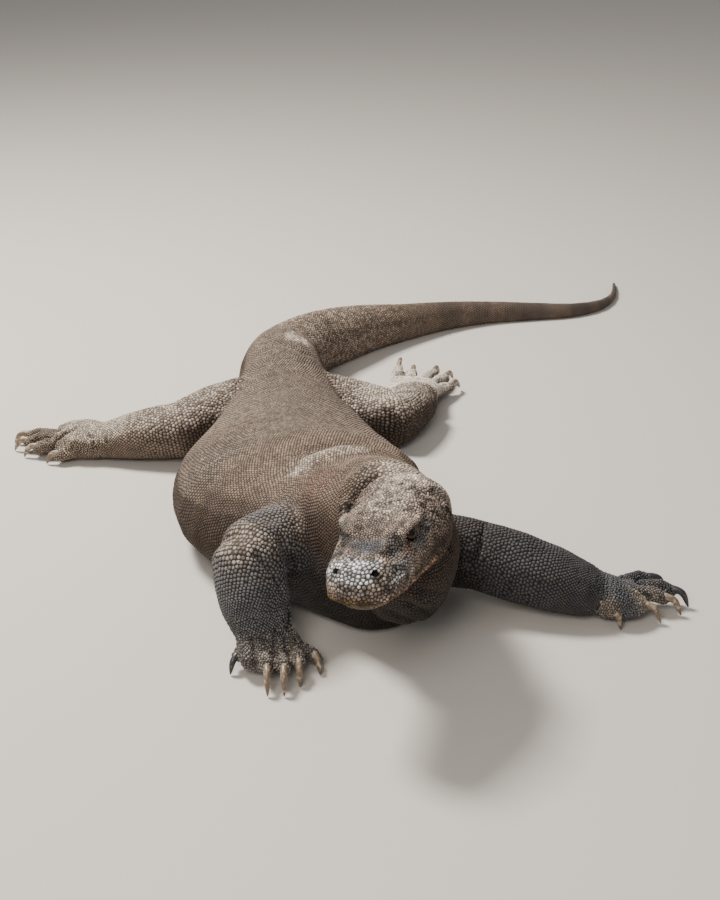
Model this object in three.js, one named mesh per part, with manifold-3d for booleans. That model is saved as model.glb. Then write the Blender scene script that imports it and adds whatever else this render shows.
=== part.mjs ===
// A life-size komodo dragon resting on its belly, head raised and turned a little to its
// right, forelegs spread, one hind leg stretched out and the other trailing sole up.
// Millimetres, +Z up. The animal faces -Y, so its left side is +X. The floor is z = 0.
import * as THREE from "three";
import { mergeVertices } from "three/addons/utils/BufferGeometryUtils.js";
import Module from "manifold-3d";

const wasm = await Module();
wasm.setup();

// ---- Driving dimensions ----
const HEAD_LENGTH = 207; // from the jaw hinge to the tip of the snout
const GAP = 0.45; // clear space between neighbouring pieces
const FLOOR = 0;
const TRUNK_SIDES = 20;
const TAIL_SIDES = 12;
const LIMB_SIDES = 12;
const LIMB_STEPS = 3;
const RING_STEP = 36; // spacing of the rings along the trunk
const TAIL_STEP = 40;
const BELLY_SQUARE = 2.4; // how square every underside is
const END_BLUNTNESS = 0.35; // the larger it is, the wider the last ring of a round end
const VERTEX_MERGE = 1e-3;
const EYE_RADIUS = 10;
const EYE_SIDES = 10;

// ---- Materials ----
const finish = (color, roughness) =>
  new THREE.MeshStandardMaterial({ color, roughness, metalness: 0 });
const HIDE = finish(0x6f665b, 0.8);
const DARK_HIDE = finish(0x4a4a48, 0.8);
const HORN = finish(0x5a5148, 0.5);
const EYE = finish(0x1b140f, 0.15);

// ---- Solids ----
const vec = (p) => new THREE.Vector3(...p);
const UP = new THREE.Vector3(0, 0, 1);

// A closed geometry as a solid, with only its shared vertices kept.
function solidOf(geometry) {
  const bare = geometry.clone();
  bare.deleteAttribute("normal");
  bare.deleteAttribute("uv");
  const merged = mergeVertices(bare, VERTEX_MERGE);
  return new wasm.Manifold(
    new wasm.Mesh({
      numProp: 3,
      vertProperties: new Float32Array(merged.attributes.position.array),
      triVerts: new Uint32Array(merged.index.array),
    }),
  );
}

function geometryOf(solid) {
  const mesh = solid.getMesh();
  const geometry = new THREE.BufferGeometry();
  geometry.setAttribute("position", new THREE.BufferAttribute(mesh.vertProperties, 3));
  geometry.setIndex(new THREE.BufferAttribute(mesh.triVerts, 1));
  geometry.computeVertexNormals();
  return geometry;
}

const joined = (solids) => solids.reduce((whole, next) => whole.add(next));

// A ring is one cross-section: centre, the side and up directions, half width, heights
// above and below the centre, and how square each half is (2 is an ellipse).
function ringAt(centre, along, size, square = [2, 2]) {
  const side = new THREE.Vector3().crossVectors(UP, along).normalize();
  const up = new THREE.Vector3().crossVectors(along, side).normalize();
  return { centre, side, up, width: size.x, above: size.y, below: size.z, square };
}

function shrunk(ring, share, slide) {
  const centre = ring.centre.clone().add(slide);
  const { width, above, below } = ring;
  return { ...ring, centre, width: width * share, above: above * share, below: below * share };
}

const power = (value, exponent) => Math.sign(value) * Math.abs(value) ** exponent;

// A closed skin over a row of rings: a cylinder whose rings are moved onto the sections.
// What would reach under the floor is pressed flat on it.
function skinOver(rings, sides, floor = FLOOR) {
  const geometry = new THREE.CylinderGeometry(1, 1, 1, sides, rings.length - 1);
  const position = geometry.attributes.position;
  for (let i = 0; i < position.count; i++) {
    const ring = rings[Math.round((0.5 - position.getY(i)) * (rings.length - 1))];
    const isUpper = position.getZ(i) > 0;
    const exponent = 2 / ring.square[isUpper ? 0 : 1];
    const across = ring.width * power(position.getX(i), exponent);
    const height = power(position.getZ(i), exponent) * (isUpper ? ring.above : ring.below);
    const place = ring.centre.clone().addScaledVector(ring.side, across);
    place.addScaledVector(ring.up, height);
    position.setXYZ(i, place.x, place.y, Math.max(place.z, floor));
  }
  return geometry;
}

// Extra rings that round off an end. `way` points out of the body.
function roundEnd(ring, way, depth, steps = 2) {
  const rings = [];
  for (let i = 1; i <= steps; i++) {
    const turn = (Math.PI / 2) * (i / (steps + END_BLUNTNESS));
    const slide = way.clone().multiplyScalar(depth * Math.sin(turn));
    rings.push(shrunk(ring, Math.cos(turn), slide));
  }
  return rings;
}

// Flesh along a line of stations [x, y, z, half width, above, below, how square the upper
// half is]: one smooth curve goes through the centres, another through the sizes and a
// third through the squareness. `grow` makes the cutting copy, `rounding` the end rings.
function flesh(stations, { sides, steps, from = 0, to = 1, grow = 0, capped = [1, 1], rounding = 2 }) {
  const centres = new THREE.CatmullRomCurve3(stations.map((s) => vec(s.slice(0, 3))));
  const sizes = new THREE.CatmullRomCurve3(stations.map((s) => vec(s.slice(3, 6))));
  const squares = new THREE.SplineCurve(stations.map((s, i) => new THREE.Vector2(i, s[6] ?? 2)));
  const rings = [];
  for (let i = 0; i <= steps; i++) {
    const t = from + ((to - from) * i) / steps;
    const size = sizes.getPoint(t).addScalar(grow);
    const square = [squares.getPoint(t).y, BELLY_SQUARE];
    rings.push(ringAt(centres.getPoint(t), centres.getTangent(t), size, square));
  }
  const [first, last] = [rings[0], rings.at(-1)];
  const back = centres.getTangent(from).negate();
  const ahead = centres.getTangent(to);
  const nose = capped[0] ? roundEnd(first, back, first.width * capped[0], rounding).reverse() : [];
  const tip = capped[1] ? roundEnd(last, ahead, last.width * capped[1], rounding) : [];
  return solidOf(skinOver([...nose, ...rings, ...tip], sides));
}

function ball(radii, place, sides) {
  const bands = Math.round(sides * 0.7);
  return solidOf(new THREE.SphereGeometry(1, sides, bands).scale(...radii).translate(...place));
}

// ---- The spine: neck, trunk and tail ----
// [x, y, z of the axis, half width, height above it, depth below it, upper squareness]
const SPINE = [
  [62, -710, 138, 58, 56, 82, 2],
  [58, -658, 158, 80, 96, 104, 1.65],
  [34, -592, 158, 92, 98, 152, 1.8],
  [2, -520, 132, 122, 90, 150, 1.9],
  [-42, -440, 96, 165, 106, 112, 1.8],
  [-88, -345, 78, 200, 112, 92, 1.75],
  [-110, -250, 74, 190, 102, 88, 1.7],
  [-120, -130, 72, 148, 92, 86, 1.7],
  [-130, -20, 72, 109, 84, 86, 1.75],
  [-138, 100, 72, 87, 82, 84, 1.85],
  [-146, 190, 70, 79, 80, 80, 2],
  [-146, 255, 66, 68, 74, 76, 2],
  [-128, 320, 62, 62, 66, 68, 2],
  [-98, 385, 60, 58, 58, 66, 2],
  [-50, 440, 56, 54, 54, 62, 2],
  [8, 500, 48, 46, 47, 54, 2],
  [92, 563, 38, 33, 37, 43, 2],
  [180, 620, 30, 24, 30, 35, 2],
  [275, 658, 24, 18, 24, 28, 2],
  [372, 676, 20, 14, 19, 23, 2],
  [465, 694, 16, 11, 15, 19, 2],
  [535, 740, 12, 8.5, 11.5, 14, 2],
  [575, 815, 8.5, 6, 8, 10, 2],
  [590, 900, 5.5, 3.5, 5, 6.5, 2],
];
const TAIL_ROOT = 11; // station where the tail begins
const HEAD_END = 0;
const THROAT_ROUND = 0.6; // depth of the throat's round front, as a share of its half width
const stationShare = (index) => index / (SPINE.length - 1);

// Each piece of the spine runs between two stations, with half the gap off each end.
const SPINE_PIECES = [
  ["neck", HEAD_END, 3, HIDE],
  ["chest", 3, 5, HIDE],
  ["belly", 5, 8, HIDE],
  ["hips", 8, TAIL_ROOT, HIDE],
  ["tail_1", TAIL_ROOT, 14, HIDE],
  ["tail_2", 14, 16, HIDE],
  ["tail_3", 16, 18, DARK_HIDE],
  ["tail_4", 18, 20, DARK_HIDE],
  ["tail_5", 20, SPINE.length - 1, DARK_HIDE],
];

function spineLength(first, last) {
  let length = 0;
  for (let i = first; i < last; i++) {
    const [here, next] = [SPINE[i], SPINE[i + 1]].map((station) => vec(station.slice(0, 3)));
    length += here.distanceTo(next);
  }
  return length;
}

function spinePiece(first, last, grow = 0) {
  const length = spineLength(first, last);
  const trim = (GAP / 2 / length) * (stationShare(last) - stationShare(first));
  const onTail = first >= TAIL_ROOT;
  const isTip = last === SPINE.length - 1;
  return flesh(SPINE, {
    sides: onTail ? TAIL_SIDES : TRUNK_SIDES,
    steps: Math.round(length / (onTail ? TAIL_STEP : RING_STEP)),
    from: Math.max(0, stationShare(first) + (grow ? -trim : trim)),
    to: isTip ? 1 : stationShare(last) + (grow ? trim : -trim),
    grow,
    capped: [first === HEAD_END ? THROAT_ROUND : 0, isTip ? 1 : 0],
  });
}

// ---- The head, in its own frame: +X to the snout, +Y to its left, +Z up ----
// [share of its length from the jaw hinge, half width, height above the axis, depth
// below it, how square the upper half is]
const HEAD_SECTIONS = [
  [-0.2, 50, 38, 56, 1.9],
  [-0.08, 60, 43, 62, 1.75],
  [0.05, 66, 45, 65, 1.7],
  [0.18, 70, 47, 63, 1.75],
  [0.33, 67, 46, 57, 1.95],
  [0.46, 60, 42, 50, 2.1],
  [0.6, 55, 35, 44, 2.3],
  [0.73, 52, 30, 39, 2.5],
  [0.86, 46, 27, 34, 2.6],
  [0.945, 35, 20, 27, 2.5],
  [0.985, 18, 10, 16, 2.2],
];
const HEAD_YAW = 20; // degrees, to its right
const HEAD_PITCH = 5; // degrees, snout down
const HEAD_ROLL = 8; // degrees, left side up
const HEAD_PLACE = [60, -668, 221];
const MOUTH_TIP_DROP = 15; // the mouth line's depth under the axis at the snout
const MOUTH_SLOPE = 3.5; // degrees, down towards its corner
const MOUTH_CORNER = 0.24; // share of the head's length in front of the jaw hinge
const BROW = { place: [0.43, 31, 35], radii: [36, 19, 11] };
const EYE_PLACE = [0.475, 42, 28];
const NOSTRIL = { place: [0.87, 27, 21], radii: [8, 6, 5] };
const EAR = { place: [0.02, 72, 8], radii: [8, 7, 12] };
const LOWER_SQUARE = 2.5;
const HEAD_TIP = 3.5; // how far the round of the snout stands out
const HEAD_SIDES = 20;
const HEAD_STEPS = 14;
const BROW_SIDES = 9;
const PIT_SIDES = 6;

const onHead = ([share, y, z]) => [share * HEAD_LENGTH, y, z];
const mirrored = ([x, y, z]) => [x, -y, z];

function headFrame() {
  const frame = new THREE.Group();
  const turns = [HEAD_ROLL, HEAD_PITCH, -90 - HEAD_YAW].map(THREE.MathUtils.degToRad);
  frame.rotation.set(...turns, "ZYX");
  frame.position.set(...HEAD_PLACE);
  frame.updateMatrixWorld(true);
  return frame.matrixWorld;
}
const HEAD_MATRIX = headFrame();
const placedOnHead = (solid) => solidOf(geometryOf(solid).applyMatrix4(HEAD_MATRIX));

function headLoft(grow) {
  const centres = new THREE.CatmullRomCurve3(HEAD_SECTIONS.map(([share]) => vec(onHead([share, 0, 0]))));
  const sizes = new THREE.CatmullRomCurve3(HEAD_SECTIONS.map((section) => vec(section.slice(1, 4))));
  const squareness = new THREE.SplineCurve(HEAD_SECTIONS.map((s) => new THREE.Vector2(s[0], s[4])));
  const along = new THREE.Vector3(1, 0, 0);
  const rings = [];
  for (let i = 0; i <= HEAD_STEPS; i++) {
    const t = i / HEAD_STEPS;
    const square = [squareness.getPoint(t).y, LOWER_SQUARE];
    rings.push(ringAt(centres.getPoint(t), along, sizes.getPoint(t).addScalar(grow), square));
  }
  rings[0].centre.x -= grow;
  const tip = roundEnd(rings.at(-1), along, HEAD_TIP + grow);
  return solidOf(skinOver([...rings, ...tip], HEAD_SIDES, -Infinity));
}

// Everything under the mouth line and in front of its corner, with a margin past the snout.
function underMouth(grow) {
  const margin = 20;
  const [width, depth] = [200, 100];
  const length = HEAD_LENGTH * (1 - MOUTH_CORNER) + 2 * margin;
  const box = new THREE.BoxGeometry(length + grow * 2, width, depth + grow * 2);
  box.translate(-length / 2, 0, -depth / 2);
  box.rotateY(THREE.MathUtils.degToRad(-MOUTH_SLOPE));
  return solidOf(box.translate(HEAD_LENGTH + margin, 0, -MOUTH_TIP_DROP));
}

function headSolids() {
  const onBothSides = (radii, place, sides) =>
    [(p) => p, mirrored].map((side) => ball(radii, side(onHead(place)), sides));
  const brows = onBothSides(BROW.radii, BROW.place, BROW_SIDES);
  const skull = joined([headLoft(0), ...brows]);
  const eyeball = (radius) => onBothSides([radius, radius, radius], EYE_PLACE, EYE_SIDES);
  const eyes = eyeball(EYE_RADIUS);
  const sockets = eyeball(EYE_RADIUS + GAP);
  const pits = [NOSTRIL, EAR].flatMap(({ radii, place }) => onBothSides(radii, place, PIT_SIDES));
  const whole = skull.subtract(joined([...sockets, ...pits]));
  return {
    head: placedOnHead(whole.subtract(underMouth(GAP))),
    lower_jaw: placedOnHead(whole.intersect(underMouth(0))),
    eye_left: placedOnHead(eyes[0]),
    eye_right: placedOnHead(eyes[1]),
    cutter: placedOnHead(joined([headLoft(GAP), ...brows])),
  };
}

// ---- Legs ----
// Each leg is two flesh pieces and a hand or foot. Stations as for the spine.
const LEGS = {
  front_right: {
    names: ["upper_arm", "forearm", "hand"],
    upper: [[-52, -500, 108, 52, 56, 60], [-106, -560, 124, 52, 52, 56], [-152, -616, 136, 48, 42, 46]],
    lower: [[-156, -620, 134, 49, 44, 48], [-147, -650, 92, 51, 48, 50], [-131, -678, 46, 42, 34, 36]],
  },
  front_left: {
    names: ["upper_arm", "forearm", "hand"],
    upper: [[40, -505, 104, 54, 50, 62], [110, -514, 88, 56, 48, 56], [180, -520, 76, 54, 44, 50]],
    lower: [[184, -522, 74, 54, 46, 50], [256, -544, 59, 54, 46, 49], [328, -562, 42, 43, 33, 38]],
  },
  hind_right: {
    names: ["thigh", "shank", "foot"],
    upper: [[-150, 50, 80, 56, 46, 64], [-230, 10, 76, 54, 52, 62], [-308, -34, 62, 50, 44, 52]],
    lower: [[-306, -36, 60, 50, 46, 50], [-375, -34, 50, 46, 42, 46], [-448, -30, 36, 36, 28, 34]],
  },
  hind_left: {
    names: ["thigh", "shank", "foot"],
    upper: [[-95, 72, 76, 62, 46, 66], [-22, 66, 62, 66, 42, 60], [40, 44, 54, 62, 40, 54]],
    lower: [[48, 6, 52, 44, 44, 50], [76, 60, 48, 48, 42, 46], [100, 122, 42, 46, 34, 38]],
  },
};

// ---- Hands and feet ----
// palm: wrist, middle and knuckle stations. Each digit: knuckle, middle joint, tip, with
// a half thickness; then the claw's tip. Digit 1 is the inner one.
const HANDS = {
  front_right: {
    palm: [[-131, -684, 40, 42, 27, 38], [-123, -700, 32, 47, 26, 32], [-116, -714, 24, 46, 20, 26]],
    digits: [
      { line: [[-82, -690, 20], [-66, -698, 20], [-58, -704, 16]], thick: 12, claw: [-54, -722, 1.5] },
      { line: [[-94, -706, 26], [-84, -722, 30], [-81, -730, 26]], thick: 13, claw: [-80, -752, 1.5] },
      { line: [[-110, -714, 27], [-102, -738, 32], [-100, -748, 27]], thick: 13, claw: [-100, -774, 1.5] },
      { line: [[-128, -712, 26], [-124, -738, 32], [-123, -748, 27]], thick: 13, claw: [-122, -774, 1.5] },
      { line: [[-146, -694, 22], [-160, -702, 24], [-168, -706, 20]], thick: 12, claw: [-175, -722, 1.5] },
    ],
  },
  front_left: {
    palm: [[350, -564, 38, 40, 27, 36], [370, -560, 30, 45, 24, 30], [390, -552, 24, 44, 19, 26]],
    digits: [
      { line: [[352, -574, 26], [358, -586, 26], [362, -592, 22]], thick: 13, claw: [370, -608, 1.5] },
      { line: [[374, -564, 28], [394, -574, 30], [406, -579, 23]], thick: 13, claw: [430, -590, 1.5] },
      { line: [[388, -552, 28], [424, -556, 30], [440, -559, 23]], thick: 13, claw: [463, -568, 1.5] },
      { line: [[392, -534, 28], [438, -534, 30], [456, -536, 23]], thick: 12.5, claw: [478, -546, 1.5] },
      { line: [[380, -514, 24], [412, -500, 26], [430, -495, 20]], thick: 12, claw: [452, -496, 1.5] },
    ],
  },
  hind_right: {
    palm: [[-452, -30, 36, 37, 28, 34], [-484, -22, 34, 44, 32, 34], [-518, -8, 27, 45, 29, 28]],
    digits: [
      { line: [[-498, -46, 20], [-516, -56, 20], [-526, -60, 16]], thick: 14, claw: [-547, -61, 1.5] },
      { line: [[-524, -30, 22], [-552, -32, 24], [-568, -32, 18]], thick: 14, claw: [-592, -33, 1.5] },
      { line: [[-532, -8, 22], [-570, -8, 24], [-590, -6, 18]], thick: 14, claw: [-614, -6, 1.5] },
      { line: [[-530, 12, 22], [-572, 18, 24], [-594, 22, 18]], thick: 13, claw: [-620, 24, 1.5] },
      { line: [[-492, 22, 20], [-516, 42, 20], [-532, 52, 15]], thick: 12, claw: [-550, 62, 1.5] },
    ],
  },
  hind_left: {
    palm: [[101, 142, 42, 44, 30, 38], [100, 190, 36, 50, 20, 30], [112, 238, 28, 52, 16, 24]],
    digits: [
      { line: [[68, 222, 30], [71, 262, 37], [76, 292, 41]], thick: 13, claw: [82, 326, 46] },
      { line: [[92, 246, 26], [98, 286, 25], [104, 318, 19]], thick: 14, claw: [110, 350, 8] },
      { line: [[116, 248, 26], [132, 288, 24], [146, 320, 18]], thick: 14, claw: [158, 352, 4] },
      { line: [[136, 234, 26], [154, 268, 24], [168, 296, 18]], thick: 13, claw: [184, 324, 4] },
      { line: [[140, 200, 26], [160, 226, 25], [176, 248, 19]], thick: 12, claw: [194, 274, 6] },
    ],
  },
};
const PALM_SIDES = 10;
const PALM_STEPS = 2;
const DIGIT_SIDES = 6;
const DIGIT_STEPS = 2;
const DIGIT_TAPER = 0.09; // share of thickness lost at each joint
const CLAW_SIDES = 5;
const CLAW_STEPS = 3;
const CLAW_ROOT = 8; // how far the claw sits back into the digit
const CLAW_HEIGHT = 6.4; // half heights and widths at the root
const CLAW_WIDTH = 4;
const CLAW_TIP = 0.7;
const CLAW_ARCH = 9; // how high its bend stands over the straight line
const CLAW_FULLNESS = 1.4; // the larger it is, the later it tapers

function digitSolid({ line, thick }) {
  const stations = line.map((place, joint) => {
    const size = thick * (1 - DIGIT_TAPER * joint);
    return [...place, size, size, size];
  });
  return flesh(stations, { sides: DIGIT_SIDES, steps: DIGIT_STEPS, capped: [0, 0.9], rounding: 1 });
}

function clawSolid({ line, claw }, grow = 0) {
  const [tip, before] = [vec(line[2]), vec(line[1])];
  const end = vec(claw);
  const way = new THREE.Vector3().subVectors(tip, before).normalize();
  const root = tip.clone().addScaledVector(way, -CLAW_ROOT);
  const arch = tip.clone().lerp(end, 0.5).addScaledVector(UP, CLAW_ARCH);
  const curve = new THREE.QuadraticBezierCurve3(root, arch, end);
  const rings = [];
  for (let i = 0; i <= CLAW_STEPS; i++) {
    const t = i / CLAW_STEPS;
    const share = 1 - t ** CLAW_FULLNESS;
    const height = CLAW_TIP + (CLAW_HEIGHT - CLAW_TIP) * share + grow;
    const width = CLAW_TIP + (CLAW_WIDTH - CLAW_TIP) * share + grow;
    rings.push(ringAt(curve.getPoint(t), curve.getTangent(t), new THREE.Vector3(width, height, height)));
  }
  return solidOf(skinOver(rings, CLAW_SIDES, grow ? -Infinity : FLOOR));
}

function handSolid({ palm, digits }) {
  const middle = flesh(palm, { sides: PALM_SIDES, steps: PALM_STEPS, capped: [0.5, 0.45], rounding: 1 });
  const claws = digits.map((digit) => clawSolid(digit, GAP));
  return joined([middle, ...digits.map(digitSolid)]).subtract(joined(claws));
}

// ---- Assembly ----
const dragon = new THREE.Group();
function addPiece(name, solid, material) {
  const largest = solid.decompose().reduce((a, b) => (a.volume() > b.volume() ? a : b));
  const mesh = new THREE.Mesh(geometryOf(largest), material);
  mesh.name = name;
  dragon.add(mesh);
}

const head = headSolids();
addPiece("head", head.head, HIDE);
addPiece("lower_jaw", head.lower_jaw, HIDE);
addPiece("eye_left", head.eye_left, EYE);
addPiece("eye_right", head.eye_right, EYE);

const trunk = [];
for (const [name, first, last, material] of SPINE_PIECES) {
  const solid = spinePiece(first, last);
  trunk.push(spinePiece(first, last, GAP));
  addPiece(name, name === "neck" ? solid.subtract(head.cutter) : solid, material);
}

const trunkCutter = joined(trunk);
for (const [side, leg] of Object.entries(LEGS)) {
  const [upperName, lowerName, handName] = leg.names.map((name) => name + "_" + side);
  const shape = { sides: LIMB_SIDES, steps: LIMB_STEPS, capped: [0.4, 0.6] };
  const hand = HANDS[side];
  const upper = flesh(leg.upper, shape).subtract(trunkCutter);
  const upperCutter = flesh(leg.upper, { ...shape, grow: GAP }).add(trunkCutter);
  const lower = flesh(leg.lower, shape).subtract(upperCutter);
  const lowerCutter = flesh(leg.lower, { ...shape, grow: GAP }).add(upperCutter);
  addPiece(upperName, upper, side.startsWith("front") ? DARK_HIDE : HIDE);
  addPiece(lowerName, lower, side.startsWith("front") ? DARK_HIDE : HIDE);
  addPiece(handName, handSolid(hand).subtract(lowerCutter), side.startsWith("front") ? DARK_HIDE : HIDE);
  hand.digits.forEach((digit, i) => addPiece("claw_" + side + "_" + (i + 1), clawSolid(digit), HORN));
}

// The origin is the middle of the footprint, on the floor.
const bounds = new THREE.Box3().setFromObject(dragon);
const middle = bounds.getCenter(new THREE.Vector3());
dragon.position.set(-middle.x, -middle.y, -bounds.min.z);

const part = new THREE.Group();
part.add(dragon);
export default part;
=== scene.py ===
# %% [markdown]
# # A life-size komodo dragon, resting on its belly
#
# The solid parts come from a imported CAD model: head, neck, trunk, tail, legs, eyes and
# claws, all in metres and at their real places. This lesson gives them one living hide.
# We fuse the solids of flesh into one skin, sculpt the face and the folds, lay many
# thousand real scales over it, and finish with eyes, claws, light and a camera.

# %% Load the solid model
import math
from collections import namedtuple
from itertools import product

import bmesh
import bpy
import numpy as np
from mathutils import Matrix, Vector
from mathutils.bvhtree import BVHTree
from mathutils.kdtree import KDTree


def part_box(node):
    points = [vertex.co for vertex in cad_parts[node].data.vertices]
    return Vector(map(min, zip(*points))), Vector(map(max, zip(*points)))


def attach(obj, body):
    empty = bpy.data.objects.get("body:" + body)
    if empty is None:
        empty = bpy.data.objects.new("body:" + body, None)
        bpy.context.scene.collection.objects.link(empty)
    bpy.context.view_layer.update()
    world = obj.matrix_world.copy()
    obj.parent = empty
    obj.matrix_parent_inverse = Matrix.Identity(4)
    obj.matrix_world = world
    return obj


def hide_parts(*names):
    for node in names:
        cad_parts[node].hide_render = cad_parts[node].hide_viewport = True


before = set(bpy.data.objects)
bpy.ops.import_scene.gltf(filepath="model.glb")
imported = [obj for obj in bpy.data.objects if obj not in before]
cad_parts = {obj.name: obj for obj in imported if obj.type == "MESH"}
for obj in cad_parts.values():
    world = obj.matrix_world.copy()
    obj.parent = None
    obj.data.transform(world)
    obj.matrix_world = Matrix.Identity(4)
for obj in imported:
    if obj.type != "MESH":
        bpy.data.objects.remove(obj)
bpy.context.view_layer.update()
MM = 0.001
dice = np.random.default_rng(11)

# %% [markdown]
# ## Camera first
# The animal is seen from the front and above, about two and a half metres away, with a
# mildly long lens. Setting the camera first lets every later step be judged in its view.

# %% Camera
CAMERA_PLACE = (0.0136, -2.466, 1.141)
CAMERA_PITCH = math.radians(25)  # below the horizon
SENSOR_HEIGHT = 36.0
FOCAL_LENGTH = 60.5

camera_data = bpy.data.cameras.new("camera")
camera_data.sensor_fit = "VERTICAL"
camera_data.sensor_height = SENSOR_HEIGHT
camera_data.lens = FOCAL_LENGTH
camera_data.clip_end = 50
camera = bpy.data.objects.new("camera", camera_data)
camera.location = CAMERA_PLACE
camera.rotation_euler = (math.pi / 2 - CAMERA_PITCH, 0, 0)
bpy.context.collection.objects.link(camera)
bpy.context.scene.camera = camera
print("camera", camera.location[:], "lens", FOCAL_LENGTH)

# %% [markdown]
# ## From mesh to numbers and back
# Sculpting by code is quickest on plain arrays: points, faces, and the pairs of points
# that share an edge. `Skin` keeps those together and knows how to smooth any field on
# the surface, because smoothing is what turns facets into flesh.

# %% Mesh helpers
def points_of(mesh):
    flat = np.empty(len(mesh.vertices) * 3, np.float32)
    mesh.vertices.foreach_get("co", flat)
    return flat.reshape(-1, 3).astype(float)


def unit(vectors):
    return vectors / np.maximum(np.linalg.norm(vectors, axis=-1, keepdims=True), 1e-12)


def ease(value, start, end):
    """0 before start, 1 after end, with a soft way between (start may be above end)."""
    t = np.clip((value - start) / (end - start), 0, 1)
    return t * t * (3 - 2 * t)


def bump(value, centre, width):
    """1 at the centre, falling off on both sides like a bell."""
    return np.exp(-(((value - centre) / width) ** 2))


def new_mesh(name, points, faces, numbers=None):
    """A smooth mesh that carries named numbers, one for each point."""
    mesh = bpy.data.meshes.new(name)
    mesh.from_pydata(points, [], faces)
    mesh.shade_smooth()
    for key, values in (numbers or {}).items():
        attribute = mesh.attributes.new(key, "FLOAT", "POINT")
        attribute.data.foreach_set("value", np.asarray(values, np.float32))
    return mesh


class Skin:
    """A mesh of points and faces as arrays."""

    def __init__(self, mesh):
        self.points = points_of(mesh)
        self.faces = [tuple(face.vertices) for face in mesh.polygons]
        pairs = np.empty(len(mesh.edges) * 2, np.int32)
        mesh.edges.foreach_get("vertices", pairs)
        self.edges = pairs.reshape(-1, 2)
        self.degree = np.bincount(pairs, minlength=len(self.points)).clip(1)

    def around(self, field):
        """The mean of a field over each point's neighbours."""
        a, b = self.edges.T
        count = len(self.points)
        columns = field.reshape(count, -1)
        mean = np.stack([
            np.bincount(a, column[b], count) + np.bincount(b, column[a], count)
            for column in columns.T
        ], axis=1) / self.degree[:, None]
        return mean.reshape(field.shape)

    def soften(self, field, times, strength=0.8):
        for _ in range(times):
            field = field + strength * (self.around(field) - field)
        return field

    def normals(self):
        mesh = bpy.data.meshes.new("scratch")
        mesh.from_pydata(self.points, [], self.faces)
        flat = np.empty(len(self.points) * 3, np.float32)
        mesh.vertices.foreach_get("normal", flat)
        bpy.data.meshes.remove(mesh)
        return flat.reshape(-1, 3).astype(float)


# %% [markdown]
# ## One skin over all the flesh
# The solids meet with hair-thin gaps. Each is grown by a little more than the gap, the
# lot is joined, and a voxel remesh makes one closed surface of even squares. Boolean
# unions would keep every facet and seam; voxels forget them.

# %% Fuse the solids of flesh
FUSE_GROWTH = 0.6 * MM
VOXEL = 4 * MM
flesh_nodes = sorted(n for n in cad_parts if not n.startswith(("claw_", "eye_")))


def welded(node):
    """A node's mesh with its doubled points merged."""
    work = bmesh.new()
    work.from_mesh(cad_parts[node].data)
    bmesh.ops.remove_doubles(work, verts=work.verts, dist=0.01 * MM)
    bmesh.ops.triangulate(work, faces=work.faces)
    work.normal_update()
    work.verts.index_update()
    points = np.array([v.co[:] for v in work.verts])
    normals = np.array([v.normal[:] for v in work.verts])
    faces = np.array([[v.index for v in f.verts] for f in work.faces])
    work.free()
    return points, normals, faces


solids = {node: welded(node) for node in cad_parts}
all_points, all_faces, face_node, start = [], [], [], 0
for number, node in enumerate(flesh_nodes):
    points, normals, faces = solids[node]
    all_points.append(points + normals * FUSE_GROWTH)
    all_faces.append(faces + start)
    face_node += [number] * len(faces)
    start += len(points)
all_points, all_faces = np.concatenate(all_points), np.concatenate(all_faces)
face_node = np.array(face_node)

fuse_mesh = bpy.data.meshes.new("fuse")
fuse_mesh.from_pydata(all_points, [], all_faces)
fuse_object = bpy.data.objects.new("fuse", fuse_mesh)
bpy.context.collection.objects.link(fuse_object)
remesh = fuse_object.modifiers.new("fuse", "REMESH")
remesh.mode = "VOXEL"
remesh.voxel_size = VOXEL
depsgraph = bpy.context.evaluated_depsgraph_get()
fused_mesh = bpy.data.meshes.new_from_object(fuse_object.evaluated_get(depsgraph))
bpy.data.objects.remove(fuse_object)
skin = Skin(fused_mesh)
print("fused skin:", len(skin.points), "points,", len(skin.faces), "faces")

# %% [markdown]
# ## Which part is which
# Every skin point remembers the solid that it lies nearest to. These labels later tell
# the scales how to run, and say where the dark legs begin.

# %% Label the skin by its nearest solid
solid_tree = BVHTree.FromPolygons(all_points.tolist(), all_faces.tolist())


def nearest_solid(points):
    return np.array([face_node[solid_tree.find_nearest(p)[2]] for p in points.tolist()])


def numbers_of(prefixes):
    """The labels of the nodes whose names start with one of the prefixes."""
    return [i for i, node in enumerate(flesh_nodes) if node.startswith(prefixes)]


label = nearest_solid(skin.points)
is_part = {node: label == i for i, node in enumerate(flesh_nodes)}
print("points on the head:", int(is_part["head"].sum()))

# %% [markdown]
# ## Facets into flesh
# Heat-like smoothing wipes out facets but thins whatever is slim. So the amount follows
# each part's own thickness, and the average sinking is measured and given back.

# %% Smooth by thickness
ROUNDS = 24
ROUNDS_PER_SQUARE = 4  # a round at full strength spreads a quarter of a voxel's square
SPREAD_WIDE, SPREAD_LIMB = 0.006, 0.013  # smoothing area per square of half thickness
FINE_PARTS = ("hand_", "foot_")
FINE_HALF_THICKNESS = 11 * MM


def smoothing_area(node):
    low, high = (np.array(c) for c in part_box(node))
    half = (high[2] - low[2]) / 2
    if node.startswith(FINE_PARTS):
        half = FINE_HALF_THICKNESS
    wide = node in ("head", "lower_jaw", "neck", "chest", "belly", "hips")
    return (SPREAD_WIDE if wide else SPREAD_LIMB) * half**2


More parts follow.
